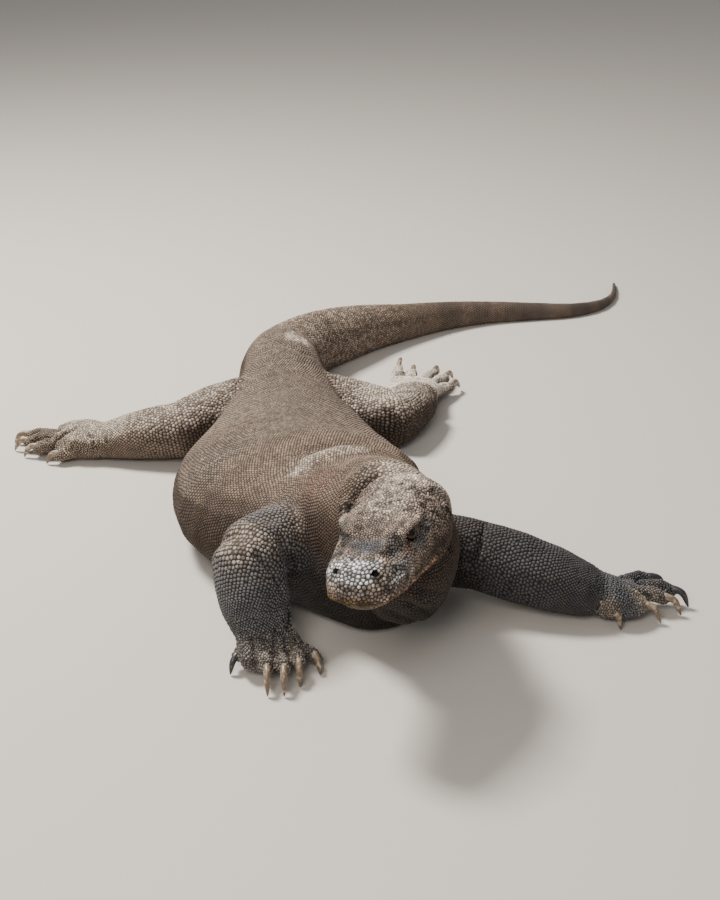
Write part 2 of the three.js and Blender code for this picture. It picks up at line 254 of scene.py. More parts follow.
area = np.array([smoothing_area(node) for node in flesh_nodes])[label]
area = skin.soften(area, 6)
strength = np.clip(area / ROUNDS * ROUNDS_PER_SQUARE / VOXEL**2, 0, 0.9)[:, None]
facets = skin.points.copy()
skin.points = skin.soften(skin.points, ROUNDS, strength)
normal = skin.normals()
sunk = ((skin.points - facets) * normal).sum(1)
skin.points -= normal * skin.soften(sunk, 12)[:, None]
print("mean sinking given back: %.2f mm" % (-sunk.mean() / MM))

# %% [markdown]
# ## A frame for the face
# Everything on the face is measured from the head itself: along the snout, to its left
# and up, in millimetres from the jaw hinge. The line between the two eyes gives "left",
# and the snout dips by a known angle, so the whole frame follows from the solids.

# %% Head frame
HEAD_PITCH = math.radians(5)
EYE_AHEAD, EYE_ASIDE, EYE_UP = 98.3, 42.0, 28.0  # eye centre in the head's frame, mm

eye_centre = {side: np.mean(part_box("eye_" + side), axis=0) for side in ("left", "right")}
head_left = unit(eye_centre["left"] - eye_centre["right"])
level_ahead = unit(np.cross(head_left, (0, 0, 1)))
square_up = np.cross(level_ahead, head_left)
dip = math.asin(math.sin(HEAD_PITCH) / square_up[2])
head_ahead = level_ahead * math.cos(dip) - square_up * math.sin(dip)
head_up = np.cross(head_ahead, head_left)
head_axes = np.array([head_ahead, head_left, head_up])
head_origin = (eye_centre["left"] + eye_centre["right"]) / 2
head_origin = head_origin - (EYE_AHEAD * head_ahead + EYE_UP * head_up) * MM


def to_head(points):
    return (points - head_origin) @ head_axes.T / MM


def from_head(places):
    return head_origin + np.asarray(places, float) @ head_axes * MM


print("head axes:", head_axes.round(3).tolist())

# %% [markdown]
# ## More points where the eye looks
# Four millimetres is plenty for a flank, and far too coarse for an eyelid. Only the head,
# hands and feet are subdivided once, and the face a second time.

# %% Refine head, hands and feet
HEAD_BACK, FACE_BACK = -45.0, 55.0  # in the head's frame, mm
FACE_HALF_WIDTH, FACE_BOTTOM = 90, -62
AFTER_REFINING, SETTLING = 6, 0.7  # rounds, and how far each goes


def refined(skin, chosen):
    mesh = bpy.data.meshes.new("scratch")
    mesh.from_pydata(skin.points, [], skin.faces)
    work = bmesh.new()
    work.from_mesh(mesh)
    edges = {edge for face, pick in zip(work.faces, chosen) if pick for edge in face.edges}
    bmesh.ops.subdivide_edges(work, edges=list(edges), cuts=1, use_grid_fill=True)
    work.to_mesh(mesh)
    work.free()
    return Skin(mesh)


def face_centres(skin):
    return np.array([skin.points[list(face)].mean(0) for face in skin.faces])


def near_face(points, back):
    ahead, left, up = to_head(points).T
    return (ahead > back) & (np.abs(left) < FACE_HALF_WIDTH) & (up > FACE_BOTTOM)


centres = face_centres(skin)
face_label = nearest_solid(centres)
fine = np.isin(face_label, numbers_of(FINE_PARTS))
head_numbers = numbers_of(("head", "lower_jaw"))
fine |= np.isin(face_label, head_numbers) & near_face(centres, HEAD_BACK)
skin = refined(skin, fine)
centres = face_centres(skin)
on_face = near_face(centres, FACE_BACK)
on_face &= np.isin(nearest_solid(centres), head_numbers)
skin = refined(skin, on_face)

label = nearest_solid(skin.points)
is_part = {node: label == i for i, node in enumerate(flesh_nodes)}
is_head = is_part["head"] | is_part["lower_jaw"]
fine_part = np.isin(label, numbers_of(FINE_PARTS))
settle = skin.soften((is_head | fine_part).astype(float), 4)[:, None]
skin.points = skin.soften(skin.points, AFTER_REFINING, SETTLING * settle)
print("refined skin:", len(skin.points), "points")

# %% [markdown]
# ## Sculpting strokes
# A sculptor pushes folds and ridges in along lines. A stroke here is the same: a smooth
# path of a few points, a width and a height. Points near the path move along their own
# normals, up for a roll of skin and down for a crease, fading at both ends.

# %% Stroke tool
def smooth_path(path, steps=6):
    """A Catmull-Rom curve through the path's points."""
    path = np.asarray(path, float)
    ends = np.vstack([2 * path[0] - path[1], path, 2 * path[-1] - path[-2]])
    curve = []
    for i in range(len(path) - 1):
        p0, p1, p2, p3 = ends[i : i + 4]
        for t in np.arange(steps) / steps:
            curve.append(0.5 * (2 * p1 + (p2 - p0) * t + (2 * p0 - 5 * p1 + 4 * p2 - p3) * t**2
                                + (3 * p1 - p0 - 3 * p2 + p3) * t**3))
    return np.array(curve + [path[-1]])


def reach_of(line):
    """How far along a line each of its points lies."""
    return np.concatenate([[0], np.cumsum(np.linalg.norm(np.diff(line, axis=0), axis=1))])


def point_at(line, distance, values=None):
    """The place at a distance along a line, or what the values given there come to."""
    values = line if values is None else values
    return np.stack([np.interp(distance, reach_of(line), axis) for axis in values.T], -1)


def square_to(line, at, step):
    """The line's place at a distance along it, its direction there, its side and its top."""
    end = reach_of(line)[-1]
    tangent = unit(point_at(line, min(at + step, end)) - point_at(line, max(at - step, 0)))
    side = unit(np.cross(tangent, (0, 0, 1)))
    return point_at(line, at), tangent, side, np.cross(side, tangent)


def nearest_on_path(points, path):
    """How far each point is from a line, and how far along the line that is, 0 to 1."""
    steps = np.linalg.norm(np.diff(path, axis=0), axis=1)
    reach = reach_of(path)
    best = np.full(len(points), np.inf)
    share = np.zeros(len(points))
    for a, b, size, before in zip(path[:-1], path[1:], steps, reach):
        along = np.clip((points - a) @ (b - a) / max(size**2, 1e-12), 0, 1)
        gap = np.linalg.norm(points - a - along[:, None] * (b - a), axis=1)
        closer = gap < best
        best = np.where(closer, gap, best)
        share = np.where(closer, (before + along * size) / reach[-1], share)
    return best, share


def stroke(points, normals, path, width, height, fade=0.25):
    """Moves points near the path by height along their normals; all in metres."""
    curve = smooth_path(path)
    low, high = curve.min(0) - 3 * width, curve.max(0) + 3 * width
    near = np.flatnonzero(((points > low) & (points < high)).all(1))
    gap, share = nearest_on_path(points[near], curve)
    push = bump(gap, 0, width) * ease(share, 0, fade) * ease(share, 1, 1 - fade)
    moved = points.copy()
    moved[near] += normals[near] * (push * height)[:, None]
    return moved


# %% [markdown]
# ## Centre lines
# Scales run in rings round the body, so each limb and each length of trunk needs a line
# through its middle. It starts where two solids meet and follows the middle of thin
# slices of the skin, all measured from the mesh.

# %% Lines through trunk, tail and legs
SLICE, SLICE_SPAN, SLICE_LEAST = 22 * MM, 0.6, 20  # its length, reach and fewest points
TRUNK = ["neck", "chest", "belly", "hips"] + ["tail_%d" % i for i in range(1, 6)]
LIMBS = {"front": ("upper_arm", "forearm", "hand"), "hind": ("thigh", "shank", "foot")}


def seam_centre(node, others):
    ours, theirs = is_part[node], np.any([is_part[n] for n in others], axis=0)
    a, b = skin.edges.T
    crossing = (ours[a] & theirs[b]) | (ours[b] & theirs[a])
    return skin.points[skin.edges[crossing].ravel()].mean(0)


def slice_middles(node, start, end):
    """Points from start to end through the middle of a node's skin."""
    chord = end - start
    count = max(2, round(np.linalg.norm(chord) / SLICE))
    inside = skin.points[is_part[node]]
    along = (inside - start) @ chord / (chord @ chord)
    middles = [start]
    for i in range(1, count):
        ring = inside[np.abs(along - i / count) < SLICE_SPAN / count]
        if len(ring) > SLICE_LEAST:
            middles.append((ring.min(0) + ring.max(0)) / 2)
    return middles


def chain_line(nodes, start, end):
    """One line through a chain of nodes, eased so that it bends gently."""
    joints = [start] + [seam_centre(a, [b]) for a, b in zip(nodes, nodes[1:])] + [end]
    line = [p for node, a, b in zip(nodes, joints, joints[1:]) for p in slice_middles(node, a, b)]
    line = np.array(line + [end])
    for _ in range(3):
        line[1:-1] = (line[:-2] + 2 * line[1:-1] + line[2:]) / 4
    return smooth_path(line, 4)


tail_start = seam_centre("tail_5", ["tail_4"])
tail_points = skin.points[is_part["tail_5"]]
tail_end = tail_points[np.argmax(np.linalg.norm(tail_points - tail_start, axis=1))]
lines = {"trunk": chain_line(TRUNK, seam_centre("neck", ["head"]), tail_end)}
chains = {"trunk": TRUNK}
for limb, parts in LIMBS.items():
    for side in ("right", "left"):
        nodes = ["%s_%s_%s" % (part, limb, side) for part in parts]
        ends = seam_centre(nodes[0], TRUNK), seam_centre(nodes[2], nodes[1:2])
        name = "leg_%s_%s" % (limb, side)
        lines[name], chains[name] = chain_line(nodes[:2], *ends), nodes[:2]
for name, line in lines.items():
    print("%-16s %.0f mm long" % (name, reach_of(line)[-1] / MM))

# %% Lines through the toes
TOE_STEP, TOE_REACH, MOST_STEPS = 4 * MM, 15 * MM, 16
TOE_SLICE, TOE_LEAST = 3 * MM, 8  # half its thickness, and its fewest points
PALM_GROWTH = 1.7  # a line ends where the girth has grown by this, for there the palm is
TOE_HOLD = 0.4  # how much a line keeps to its heading
ROOT_LENGTH = 3 * MM  # of a claw, over which its root is averaged
claw_names = sorted(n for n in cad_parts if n.startswith("claw_"))


def paw_of(claw):
    part = "hand" if "front" in claw else "foot"
    return claw.replace("claw", part).rsplit("_", 1)[0]


def claw_ends(node):
    """The root and tip of a claw: the root end lies nearest the skin."""
    points = solids[node][0]
    middle = points.mean(0)
    axis = np.linalg.svd(points - middle)[2][0]
    along = (points - middle) @ axis
    ends = [points[np.argmin(along)], points[np.argmax(along)]]
    paw = skin.points[is_part[paw_of(node)]]
    depth = [np.linalg.norm(paw - end, axis=1).min() for end in ends]
    if depth[0] > depth[1]:
        ends, along = ends[::-1], -along
    return points[along < along.min() + ROOT_LENGTH].mean(0), ends[1]


claws = {node: claw_ends(node) for node in claw_names}
for node, (root, tip) in claws.items():
    paw = paw_of(node)
    inside = skin.points[is_part[paw]]
    heading = unit(root - tip)
    line, first_girth = [root], None
    for _ in range(MOST_STEPS):
        ahead = line[-1] + heading * TOE_STEP
        offset = inside - ahead
        ring = inside[(np.abs(offset @ heading) < TOE_SLICE)
                      & (np.linalg.norm(offset, axis=1) < TOE_REACH)]
        if len(ring) < TOE_LEAST:
            break
        middle = (ring.min(0) + ring.max(0)) / 2
        girth = np.linalg.norm(ring - middle, axis=1).mean()
        first_girth = first_girth or girth
        if girth > PALM_GROWTH * first_girth:
            break
        middle = (1 - TOE_HOLD) * middle + TOE_HOLD * ahead
        heading = unit(0.5 * heading + 0.5 * unit(middle - line[-1]))
        line.append(middle)
    if len(line) > 3:
        name = node.replace("claw", "toe")
        lines[name] = smooth_path(np.array(line), 4)
        chains[name] = [paw]
print("toe lines:", sum(name.startswith("toe") for name in lines))

# %% [markdown]
# ## The skull under the skin
# A monitor's face is planes and edges: a flat crown that ends in a brow shelf over each
# eye, a hollow before the eye, a blunt swollen snout, and heavy jaw muscles behind.
# Each stroke below is given for the left side and mirrored to the right.

# %% Bones and muscles of the head
skin_normals = skin.normals()
FACE_STROKES = [
    ([(44, 47, 36), (72, 50, 38), (98, 47, 39.5), (115, 38, 39)], 4.6, 6.4),  # brow shelf
    ([(60, 55, 28), (96, 52, 32), (118, 43, 30)], 4.5, -5),  # under the brow
    ([(118, 42, 28), (138, 38, 27), (158, 36, 22)], 9, -6),  # hollow before the eye
    ([(116, 30, 41), (136, 27, 37), (156, 25, 34), (174, 22, 30)], 7, 2),  # snout's edge
    ([(112, 0, 43), (128, 0, 40), (150, 0, 36)], 14, -2.6),  # dip along the snout's top
    ([(168, 12, 32), (182, 14, 29), (194, 12, 22)], 12, 1.8),  # swollen nose
    ([(5, 50, 32), (25, 54, 33), (46, 54, 30)], 15, 4),  # temple
    ([(12, 68, -6), (40, 68, -12), (66, 64, -14)], 18, 4),  # jaw muscle
    ([(150, 47, 2), (168, 44, 2), (186, 36, 2)], 9, -1.5),  # side of the snout
    ([(44, 66, 14), (36, 70, -6), (42, 68, -28)], 3, -2.4),  # folds of the cheek
    ([(30, 68, 10), (22, 72, -10), (28, 70, -34)], 3, -2.4),
    ([(78, 58, 12), (70, 63, -6), (76, 62, -22)], 2.6, -1.6),
    ([(104, 56, 6), (96, 60, -6), (84, 62, -14)], 2.4, -1.4),
    ([(104, 28, 44), (95, 16, 45), (91, 2, 44)], 2.0, -1.4),  # wrinkles between the eyes
    ([(111, 26, 43), (103, 14, 44), (99, 2, 43)], 1.8, -1.2),
    ([(84, 34, 44), (78, 20, 46), (76, 4, 46)], 2.2, -1.0),
    ([(10, 34, 39), (0, 41, 34), (-8, 50, 26)], 7.5, -4.5),  # pit behind the crown
    ([(28, 32, 41), (44, 39, 38), (60, 39, 38)], 9, 3),  # swelling beside the crown
    ([(16, 44, 36), (34, 47, 35), (50, 47, 36)], 3.6, -2.6),
    ([(92, 14, 43), (97, 2, 43), (101, 0, 43)], 8, -1.6),
    ([(76, 0, 47), (50, 0, 47), (22, 0, 46)], 11, -2.0),  # dip along the crown
    ([(58, 20, 46), (48, 12, 47), (44, 22, 45), (30, 16, 46)], 2.4, -1.3),
    ([(24, 26, 44), (14, 14, 45), (8, 24, 43)], 2.4, -1.3),
    ([(88, 60, -2), (70, 66, -18), (58, 66, -34)], 2.6, -2.0),
    ([(64, 64, 4), (54, 68, -12), (56, 67, -26)], 2.4, -1.8),
    ([(120, 52, 2), (112, 56, -8), (100, 60, -16)], 2.2, -1.3),
]
for path, width, height in FACE_STROKES:
    for side in (1, -1):
        line = from_head(np.multiply(path, (1, side, 1)))
        skin.points = stroke(skin.points, skin_normals, line, width * MM, height * MM)
print("face strokes:", 2 * len(FACE_STROKES))

# %% [markdown]
# ## Mouth, nostrils, ears
# The lips meet in one line that dips from the tip of the snout and runs back to the jaw
# muscle. The upper lip hangs over the lower. Nostrils are wide oval pits far forward, and
# the ear is an upright open slot behind the jaw.

# %% Mouth line
MOUTH_LOW, MOUTH_LOW_AT, MOUTH_RISE, MOUTH_RUN = -30.0, 80.0, 17.0, 120.0
MOUTH_CORNER = (38.0, 58.0)  # the groove fades in between these, mm ahead of the hinge
UPPER_LIP = (2.2, 5.0, 3.4)  # height, place above the mouth and width, mm
LOWER_LIP = (-4.2, -28, -8)  # depth, and the heights between which it comes in, mm
PARTING = (-3.6, 0.0, 1.8)


def mouth_height(ahead):
    return MOUTH_LOW + MOUTH_RISE * ((ahead - MOUTH_LOW_AT) / MOUTH_RUN) ** 2


place = to_head(skin.points)
facing = skin.normals() @ head_axes.T
above_mouth = place[:, 2] - mouth_height(place[:, 0])
front = ease(place[:, 0], *MOUTH_CORNER) * is_head
upper_lip = UPPER_LIP[0] * bump(above_mouth, *UPPER_LIP[1:])
lower_lip = LOWER_LIP[0] * ease(above_mouth, 0.5, -1.5) * ease(above_mouth, *LOWER_LIP[1:])
parting = PARTING[0] * bump(above_mouth, *PARTING[1:])
push = (upper_lip + lower_lip + parting) * front * ease(np.abs(facing[:, 2]), 0.98, 0.8)
skin.points += skin.normals() * push[:, None] * MM

# %% Nostrils and ears
NOSTRIL = {"centre": (182, 26, 21.5), "facing": (0.45, 0.55, 0.7), "long": (0.7, -0.5, 0.0),
           "half": (6.2, 4.2), "depth": 8.0, "rim": 1.1}
EAR = {"centre": (2, 71, 6), "facing": (-0.1, 1.0, 0.15), "long": (0.25, 0.0, 1.0),
       "half": (10.0, 4.0), "depth": 8.0, "rim": 1.4}


def hollow(shape, side):
    """Pushes in an oval pit with a raised rim."""
    flip = np.array([1, side, 1])
    centre = np.array(shape["centre"]) * flip
    facing = unit(np.array(shape["facing"]) * flip)
    long = np.array(shape["long"]) * flip
    long = unit(long - facing * (long @ facing))
    across = np.cross(facing, long)
    offset = to_head(skin.points) - centre
    oval = np.hypot(offset @ long / shape["half"][0], offset @ across / shape["half"][1])
    near = (np.linalg.norm(offset, axis=1) < 3 * shape["half"][0]) & (skin_facing @ facing > 0)
    pit = -shape["depth"] * ease(oval, 1.0, 0.35)
    rim = shape["rim"] * bump(oval, 1.35, 0.35)
    skin.points += ((pit + rim) * near)[:, None] * (facing @ head_axes) * MM
    return near * ease(oval, 1.05, 0.8)


skin_facing = skin.normals() @ head_axes.T
pits = np.zeros(len(skin.points))
for side in (1, -1):
    pits = np.maximum(pits, hollow(NOSTRIL, side))
    pits = np.maximum(pits, hollow(EAR, side))
print("points inside nostrils and ears:", int((pits > 0.5).sum()))

# %% [markdown]
# ## Eyelids
# The eyeball stays a piece of its own. Around it the skin is wrapped on a slightly larger
# sphere, with an almond opening pushed back behind the ball, so that the lids have real
# thickness and cast their own shadow on the eye.

# %% Wrap the lids round the eyeballs
EYE_RADIUS = 9.4  # of the visible ball, mm
LID_THICKNESS = 1.3
EYE_GAZE = (0.42, 1.0, 0.16)
LID_HALF_LONG, LID_HALF_HIGH = 7.6, 5.0
LID_LINE = (1, 0, -0.22)  # the front corner sits lower
LID_REACH = 26  # skin this near to the eye's centre may move, mm
OPENING_DEPTH = 2.2  # the opening is pushed this far behind the ball's front
CREASE_DEPTH, CREASE_AT, CREASE_WIDTH = -1.0, 1.75, 0.16

rim_of_eye = np.zeros(len(skin.points))
for side in (1, -1):
    flip = np.array([1, side, 1])
    centre = np.array([EYE_AHEAD, EYE_ASIDE, EYE_UP]) * flip
    gaze = unit(np.array(EYE_GAZE) * flip)
    long = unit(np.array(LID_LINE) - gaze * (gaze @ LID_LINE))
    high = np.cross(gaze, long) * side
    offset = to_head(skin.points) - centre
    distance = np.linalg.norm(offset, axis=1)
    heading = offset / distance[:, None]
    almond = np.hypot(offset @ long / LID_HALF_LONG, offset @ high / LID_HALF_HIGH)
    near = (distance < LID_REACH) & (heading @ gaze > 0.05) & is_head
    behind = EYE_RADIUS - OPENING_DEPTH
    lid = EYE_RADIUS + LID_THICKNESS
    wanted = behind + (lid - behind) * ease(almond, 0.86, 1.06)
    hold = ease(almond, 2.1, 1.35) * near
    radius = distance + hold * (wanted - distance)
    crease = CREASE_DEPTH * bump(almond, CREASE_AT, CREASE_WIDTH) * near
    for push in (radius - distance, crease):
        skin.points += (push[:, None] * heading) @ head_axes * MM
    rim_of_eye = np.maximum(rim_of_eye, near * bump(almond, 1.1, 0.22))
print("points on the lids:", int((rim_of_eye > 0.5).sum()))

# %% [markdown]
# ## Loose hide
# A heavy dragon wears a hide one size too large. It gathers behind the skull, under the
# throat, over the shoulders, at every bend of a leg and where the tail leaves the hips.

# %% Folds of neck, limbs and tail
skin_normals = skin.normals()
FOLDS = [
    ([(-2, -684, 190), (0, -661, 214), (9, -652, 232), (27, -643, 248), (46, -640, 257),
      (70, -645, 263)], 5.5, -9),  # behind the skull
    ([(14, -690, 204), (22, -680, 222), (30, -671, 238), (46, -668, 252)], 9, 4),
    ([(-12, -640, 212), (-2, -630, 232), (20, -618, 248), (48, -615, 256)], 13, 5),
    ([(112, -690, 250), (123, -728, 236), (130, -722, 200), (131, -714, 160)], 4.5, -4.5),
    ([(108, -668, 246), (124, -690, 228), (130, -686, 190)], 5, -3.5),
    ([(85, -764, 154), (98, -760, 142), (113, -752, 134), (128, -729, 121)], 5, -6),
    ([(66, -764, 138), (82, -758, 119), (100, -743, 101), (116, -715, 86)], 5, -5),
    ([(40, -752, 112), (64, -745, 96), (83, -732, 79), (104, -705, 62)], 5, -4),
    ([(10, -740, 120), (30, -735, 92), (54, -728, 70), (76, -712, 56)], 6, -4),
    ([(74, -764, 146), (90, -759, 130), (107, -748, 118), (122, -722, 104)], 5, 3.5),
    ([(-87, -502, 187), (-69, -494, 194), (-49, -478, 200), (-29, -466, 202),
      (0, -442, 199), (30, -452, 196), (60, -470, 180)], 19, 8),  # collar before the back
    ([(-86, -464, 186), (-52, -438, 194), (-20, -424, 196), (16, -412, 192),
      (56, -430, 178)], 16, -6),
    ([(-139, -674, 158), (-124, -679, 150), (-111, -683, 137), (-100, -686, 122),
      (-91, -689, 103), (-84, -689, 82)], 5, -9),  # inside the right elbow
    ([(-106, -645, 167), (-92, -645, 154), (-81, -643, 131), (-73, -623, 92)], 6, -7),
    ([(-115, -660, 162), (-103, -662, 150), (-92, -664, 132), (-84, -655, 105)], 6, 4.5),
    ([(-162, -622, 158), (-136, -620, 168), (-112, -618, 168), (-92, -618, 152)], 9, -6),
    ([(196, -518, 116), (190, -548, 120), (186, -574, 110), (178, -586, 98),
      (166, -590, 70)], 4.5, -5),  # left shoulder
    ([(222, -524, 104), (218, -556, 106), (210, -590, 88)], 4, -3),
    ([(-129, 239, 140), (-115, 190, 146), (-99, 139, 145), (-79, 109, 138)], 7, 4),
    ([(-114, 244, 138), (-98, 196, 143), (-84, 150, 138)], 5, -4.5),
    ([(-169, 174, 140), (-142, 130, 151), (-115, 101, 152), (-86, 90, 143),
      (-63, 111, 123)], 6, -5),  # where the tail leaves the hips
    ([(-196, 10, 132), (-200, -12, 120), (-200, -40, 112)], 7, -8),  # groin, right
    ([(-18, 70, 112), (-24, 40, 116), (-16, 6, 104)], 6, -6),  # groin, left
    ([(-452, -52, 60), (-454, -76, 50), (-446, -83, 30)], 3.5, -4),  # right ankle
    ([(-428, -56, 66), (-427, -82, 52), (-420, -87, 32)], 3.5, -3.5),
    ([(60, 150, 58), (84, 172, 62), (106, 174, 56)], 4, -4),  # left ankle
]
for path, width, height in FOLDS:
    line = np.asarray(path, float) * MM
    skin.points = stroke(skin.points, skin_normals, line, width * MM, height * MM)
print("folds carved:", len(FOLDS))

# %% [markdown]
# ## Toes and wrinkled joints
# The toes are parted by a furrow between each two of them and swell at the knuckles.
# Wrists, ankles and toes fold into fine bands across the limb, because that is where the
# hide bends every day. A narrow wave along each line does that.

# %% Part the toes and wrinkle the joints
TOE_FURROW, TOE_FURROW_WIDTH = -6.5, 3.4
CUTICLE, CUTICLE_WIDTH = 1.6, 4.5
KNUCKLE, KNUCKLE_WIDTH = 1.6, 5.0
KNUCKLES_AT = (13.0, 27.0)  # mm behind the claw
BAND_LENGTH, BAND_DEPTH, BAND_REACH = 6.4, 1.4, 70.0
TOE_BAND_LENGTH, TOE_BAND_DEPTH = 4.4, 0.8
TOE_BAND_REACH, TOE_HALF_WIDTH = 60, 13
TAIL_BAND_LENGTH, TAIL_BAND_DEPTH, TAIL_BAND_REACH = 17.0, 2.6, 600.0
ARM_BULK_AT, ARM_BULK, ARM_BULK_WIDTH = (15, 50, 85, 120, 155), 5.0, 24.0
ABOVE_ALL, AHEAD_OF_TOES, NEAR_TOES = 0.4, 60 * MM, 35 * MM  # where test rays start and end


def on_top(place):
    """The place on the skin straight above a point inside it."""
    hit = draft.ray_cast(Vector((place[0], place[1], ABOVE_ALL)), Vector((0, 0, -1)))[0]
    return np.array(hit) if hit is not None and hit.z > 3 * MM else None


def in_front(place, forward, level):
    """The place on the skin that a level line from ahead meets."""
    start = Vector((*(place + forward * AHEAD_OF_TOES)[:2], level))
    hit = draft.ray_cast(start, Vector((-forward[0], -forward[1], 0)))[0]
    return np.array(hit) if hit and np.linalg.norm(np.array(hit) - place) < NEAR_TOES else None


def found(spots):
    return [spot for spot in spots if spot is not None]


def swell(place, width, height):
    gap = np.linalg.norm(skin.points - place, axis=1) / (width * MM)
    push = bump(gap, 0, 1) * (gap < 3) * ease(skin_normals[:, 2], -0.3, 0.4)
    skin.points += skin_normals * (push * height * MM)[:, None]


skin_normals = skin.normals()
draft = BVHTree.FromPolygons(skin.points.tolist(), skin.faces)
path = found(on_top(point_at(lines["leg_front_left"], at * MM)) for at in ARM_BULK_AT)
skin.points = stroke(skin.points, skin_normals, path, ARM_BULK_WIDTH * MM, ARM_BULK * MM)
for paw in sorted({paw_of(node) for node in claw_names}):
    toes = [lines[name] for name in sorted(lines) if chains[name] == [paw]]
    for first, second in zip(toes, toes[1:]):
        shared = min(reach_of(first)[-1], reach_of(second)[-1])
        between = [(point_at(first, at) + point_at(second, at)) / 2
                   for at in np.linspace(0, 1, 9) * shared]
        forward = unit(between[0] - between[2])
        between = [between[0] + forward * ahead * MM for ahead in (12, 9, 6, 3)] + between
        path = found(on_top(spot) for spot in between)
        if path:
            levels = (0.3 * path[0][2], 0.65 * path[0][2])
            path = found(in_front(path[0], forward, level) for level in levels) + path
        if len(path) > 2:
            skin.points = stroke(skin.points, skin_normals, path, TOE_FURROW_WIDTH * MM,
                                 TOE_FURROW * MM, fade=0.08)
    for line in toes:
        for at in KNUCKLES_AT:
            knuckle = on_top(point_at(line, at * MM))
            if knuckle is not None:
                swell(knuckle, KNUCKLE_WIDTH, KNUCKLE)
        swell(point_at(line, MM), CUTICLE_WIDTH, CUTICLE)


def banded(members, line, from_end, length, depth, reach):
    """Creases across a limb, sharp in the groove and broad on the rolls."""
    rows = np.flatnonzero(members)
    share = nearest_on_path(skin.points[rows], line)[1]
    total = reach_of(line)[-1] / MM
    at = (1 - share) * total if from_end else share * total
    beyond = (skin.points[rows] - line[-1]) @ unit(line[-1] - line[-3]) / MM
    at = np.where(share > 0.999, -beyond, at) if from_end else at
    wander = 0.9 * np.sin(skin.points[rows] @ (170, 90, 130))
    wave = 0.5 + 0.5 * np.cos(at / length * math.tau + wander)
    fade = ease(np.abs(at), reach, reach * 0.35)
    skin.points[rows] -= skin_normals[rows] * (wave**4 * fade * depth * MM)[:, None]


skin_normals = skin.normals()
for name, line in lines.items():
    if name.startswith("leg"):
        last = chains[name][-1]
        paw = last.replace("forearm", "hand").replace("shank", "foot")
        banded(is_part[last] | is_part[paw], line, True, BAND_LENGTH, BAND_DEPTH, BAND_REACH)
    if name.startswith("toe"):
        near = is_part[chains[name][0]].copy()
        near[near] = nearest_on_path(skin.points[near], line)[0] < TOE_HALF_WIDTH * MM
        banded(near, line, False, TOE_BAND_LENGTH, TOE_BAND_DEPTH, TOE_BAND_REACH)
hips_end = seam_centre("hips", ["tail_1"])
tail_line = lines["trunk"]
tail_line = tail_line[np.argmin(np.linalg.norm(tail_line - hips_end, axis=1)) :]
banded(is_part["tail_1"] | is_part["tail_2"], tail_line, False, TAIL_BAND_LENGTH,
       TAIL_BAND_DEPTH, TAIL_BAND_REACH)
print("joints wrinkled")

# %% [markdown]
# ## Room for the coat
# The solids give the animal's true outline, scales and all. So the skin itself sinks
# under them by the height of a scale, and stays just clear of the floor.

# %% Sink the skin by the coat's depth
COAT_DEPTH, COAT_DEPTH_FINE = 0.9 * MM, 0.45 * MM
FLOOR_CLEARANCE = 0.6 * MM

coat_depth = np.where(fine_part, COAT_DEPTH_FINE, COAT_DEPTH)
coat_depth = skin.soften(coat_depth, 6)
skin.points -= skin.normals() * coat_depth[:, None]
skin.points[:, 2] = np.maximum(skin.points[:, 2], FLOOR_CLEARANCE)
skin_normals = skin.normals()
surface = BVHTree.FromPolygons(skin.points.tolist(), skin.faces)
face_point = np.array([face[0] for face in skin.faces])
print("skin sunk by %.2f mm on average" % (coat_depth.mean() / MM))

# %% [markdown]
# ## Rings of scales
# At every step along a line a ring of rays runs outward to the skin. Each hit becomes the
# root of one scale, evenly spaced round the ring, and every second ring is shifted by
# half a scale as tiles are on a roof.

# %% Cast the rings
ROW_STEP = 0.87  # of the spacing, so that shifted rows pack like a honeycomb
PITCH = {"trunk": 4.9, "leg": 5.9, "toe": 4.4}  # spacing of scales, mm
TAIL_TIP_PITCH = 3.6
WRIST, WRIST_FINER = (0.095, 0.03), 1.2  # scales grow finer this near the wrist, by so many mm
BANDED_ROWS = 0.36  # rows crowd by this share at wrists and on toes, so scales form bands
ROW_PERCENTILE = 60  # rows are spaced for this share of the way round a bend
HOLD_COUNT = 0.07  # a ring keeps its number of scales until it is off by this share
PROBES = 40
MOST_REACH = 0.32
LOOK_ASIDE = 8 * MM  # a line's direction is taken over this much on both sides
GIRTH_SHARE = 0.008  # a ring's pitch grows by this share of its girth, past the tail's tip
MOST_SPREAD = 1.9
UNDERSIDE = -0.8  # normals that point down more than this get broad belly scales,
UNDERSIDE_HEIGHT = 12 * MM  # but only this near to the floor
STEEPEST = 0.86  # skin that faces along the line is left to the filling step
UNEVEN = {"trunk": 0.10, "leg": 0.22, "toe": 0.18}  # of the spacing, a root may stray this far

Root = namedtuple("Root", "place up lie face pitch")
roots = []


def cast_ring(centre, side, up, angles, shifts=None):
    hits = []
    for i, angle in enumerate(angles):
        heading = side * math.cos(angle) + up * math.sin(angle)
        start = centre if shifts is None else centre + shifts[i]
        hits.append(surface.ray_cast(Vector(start), Vector(heading), MOST_REACH))
    return hits


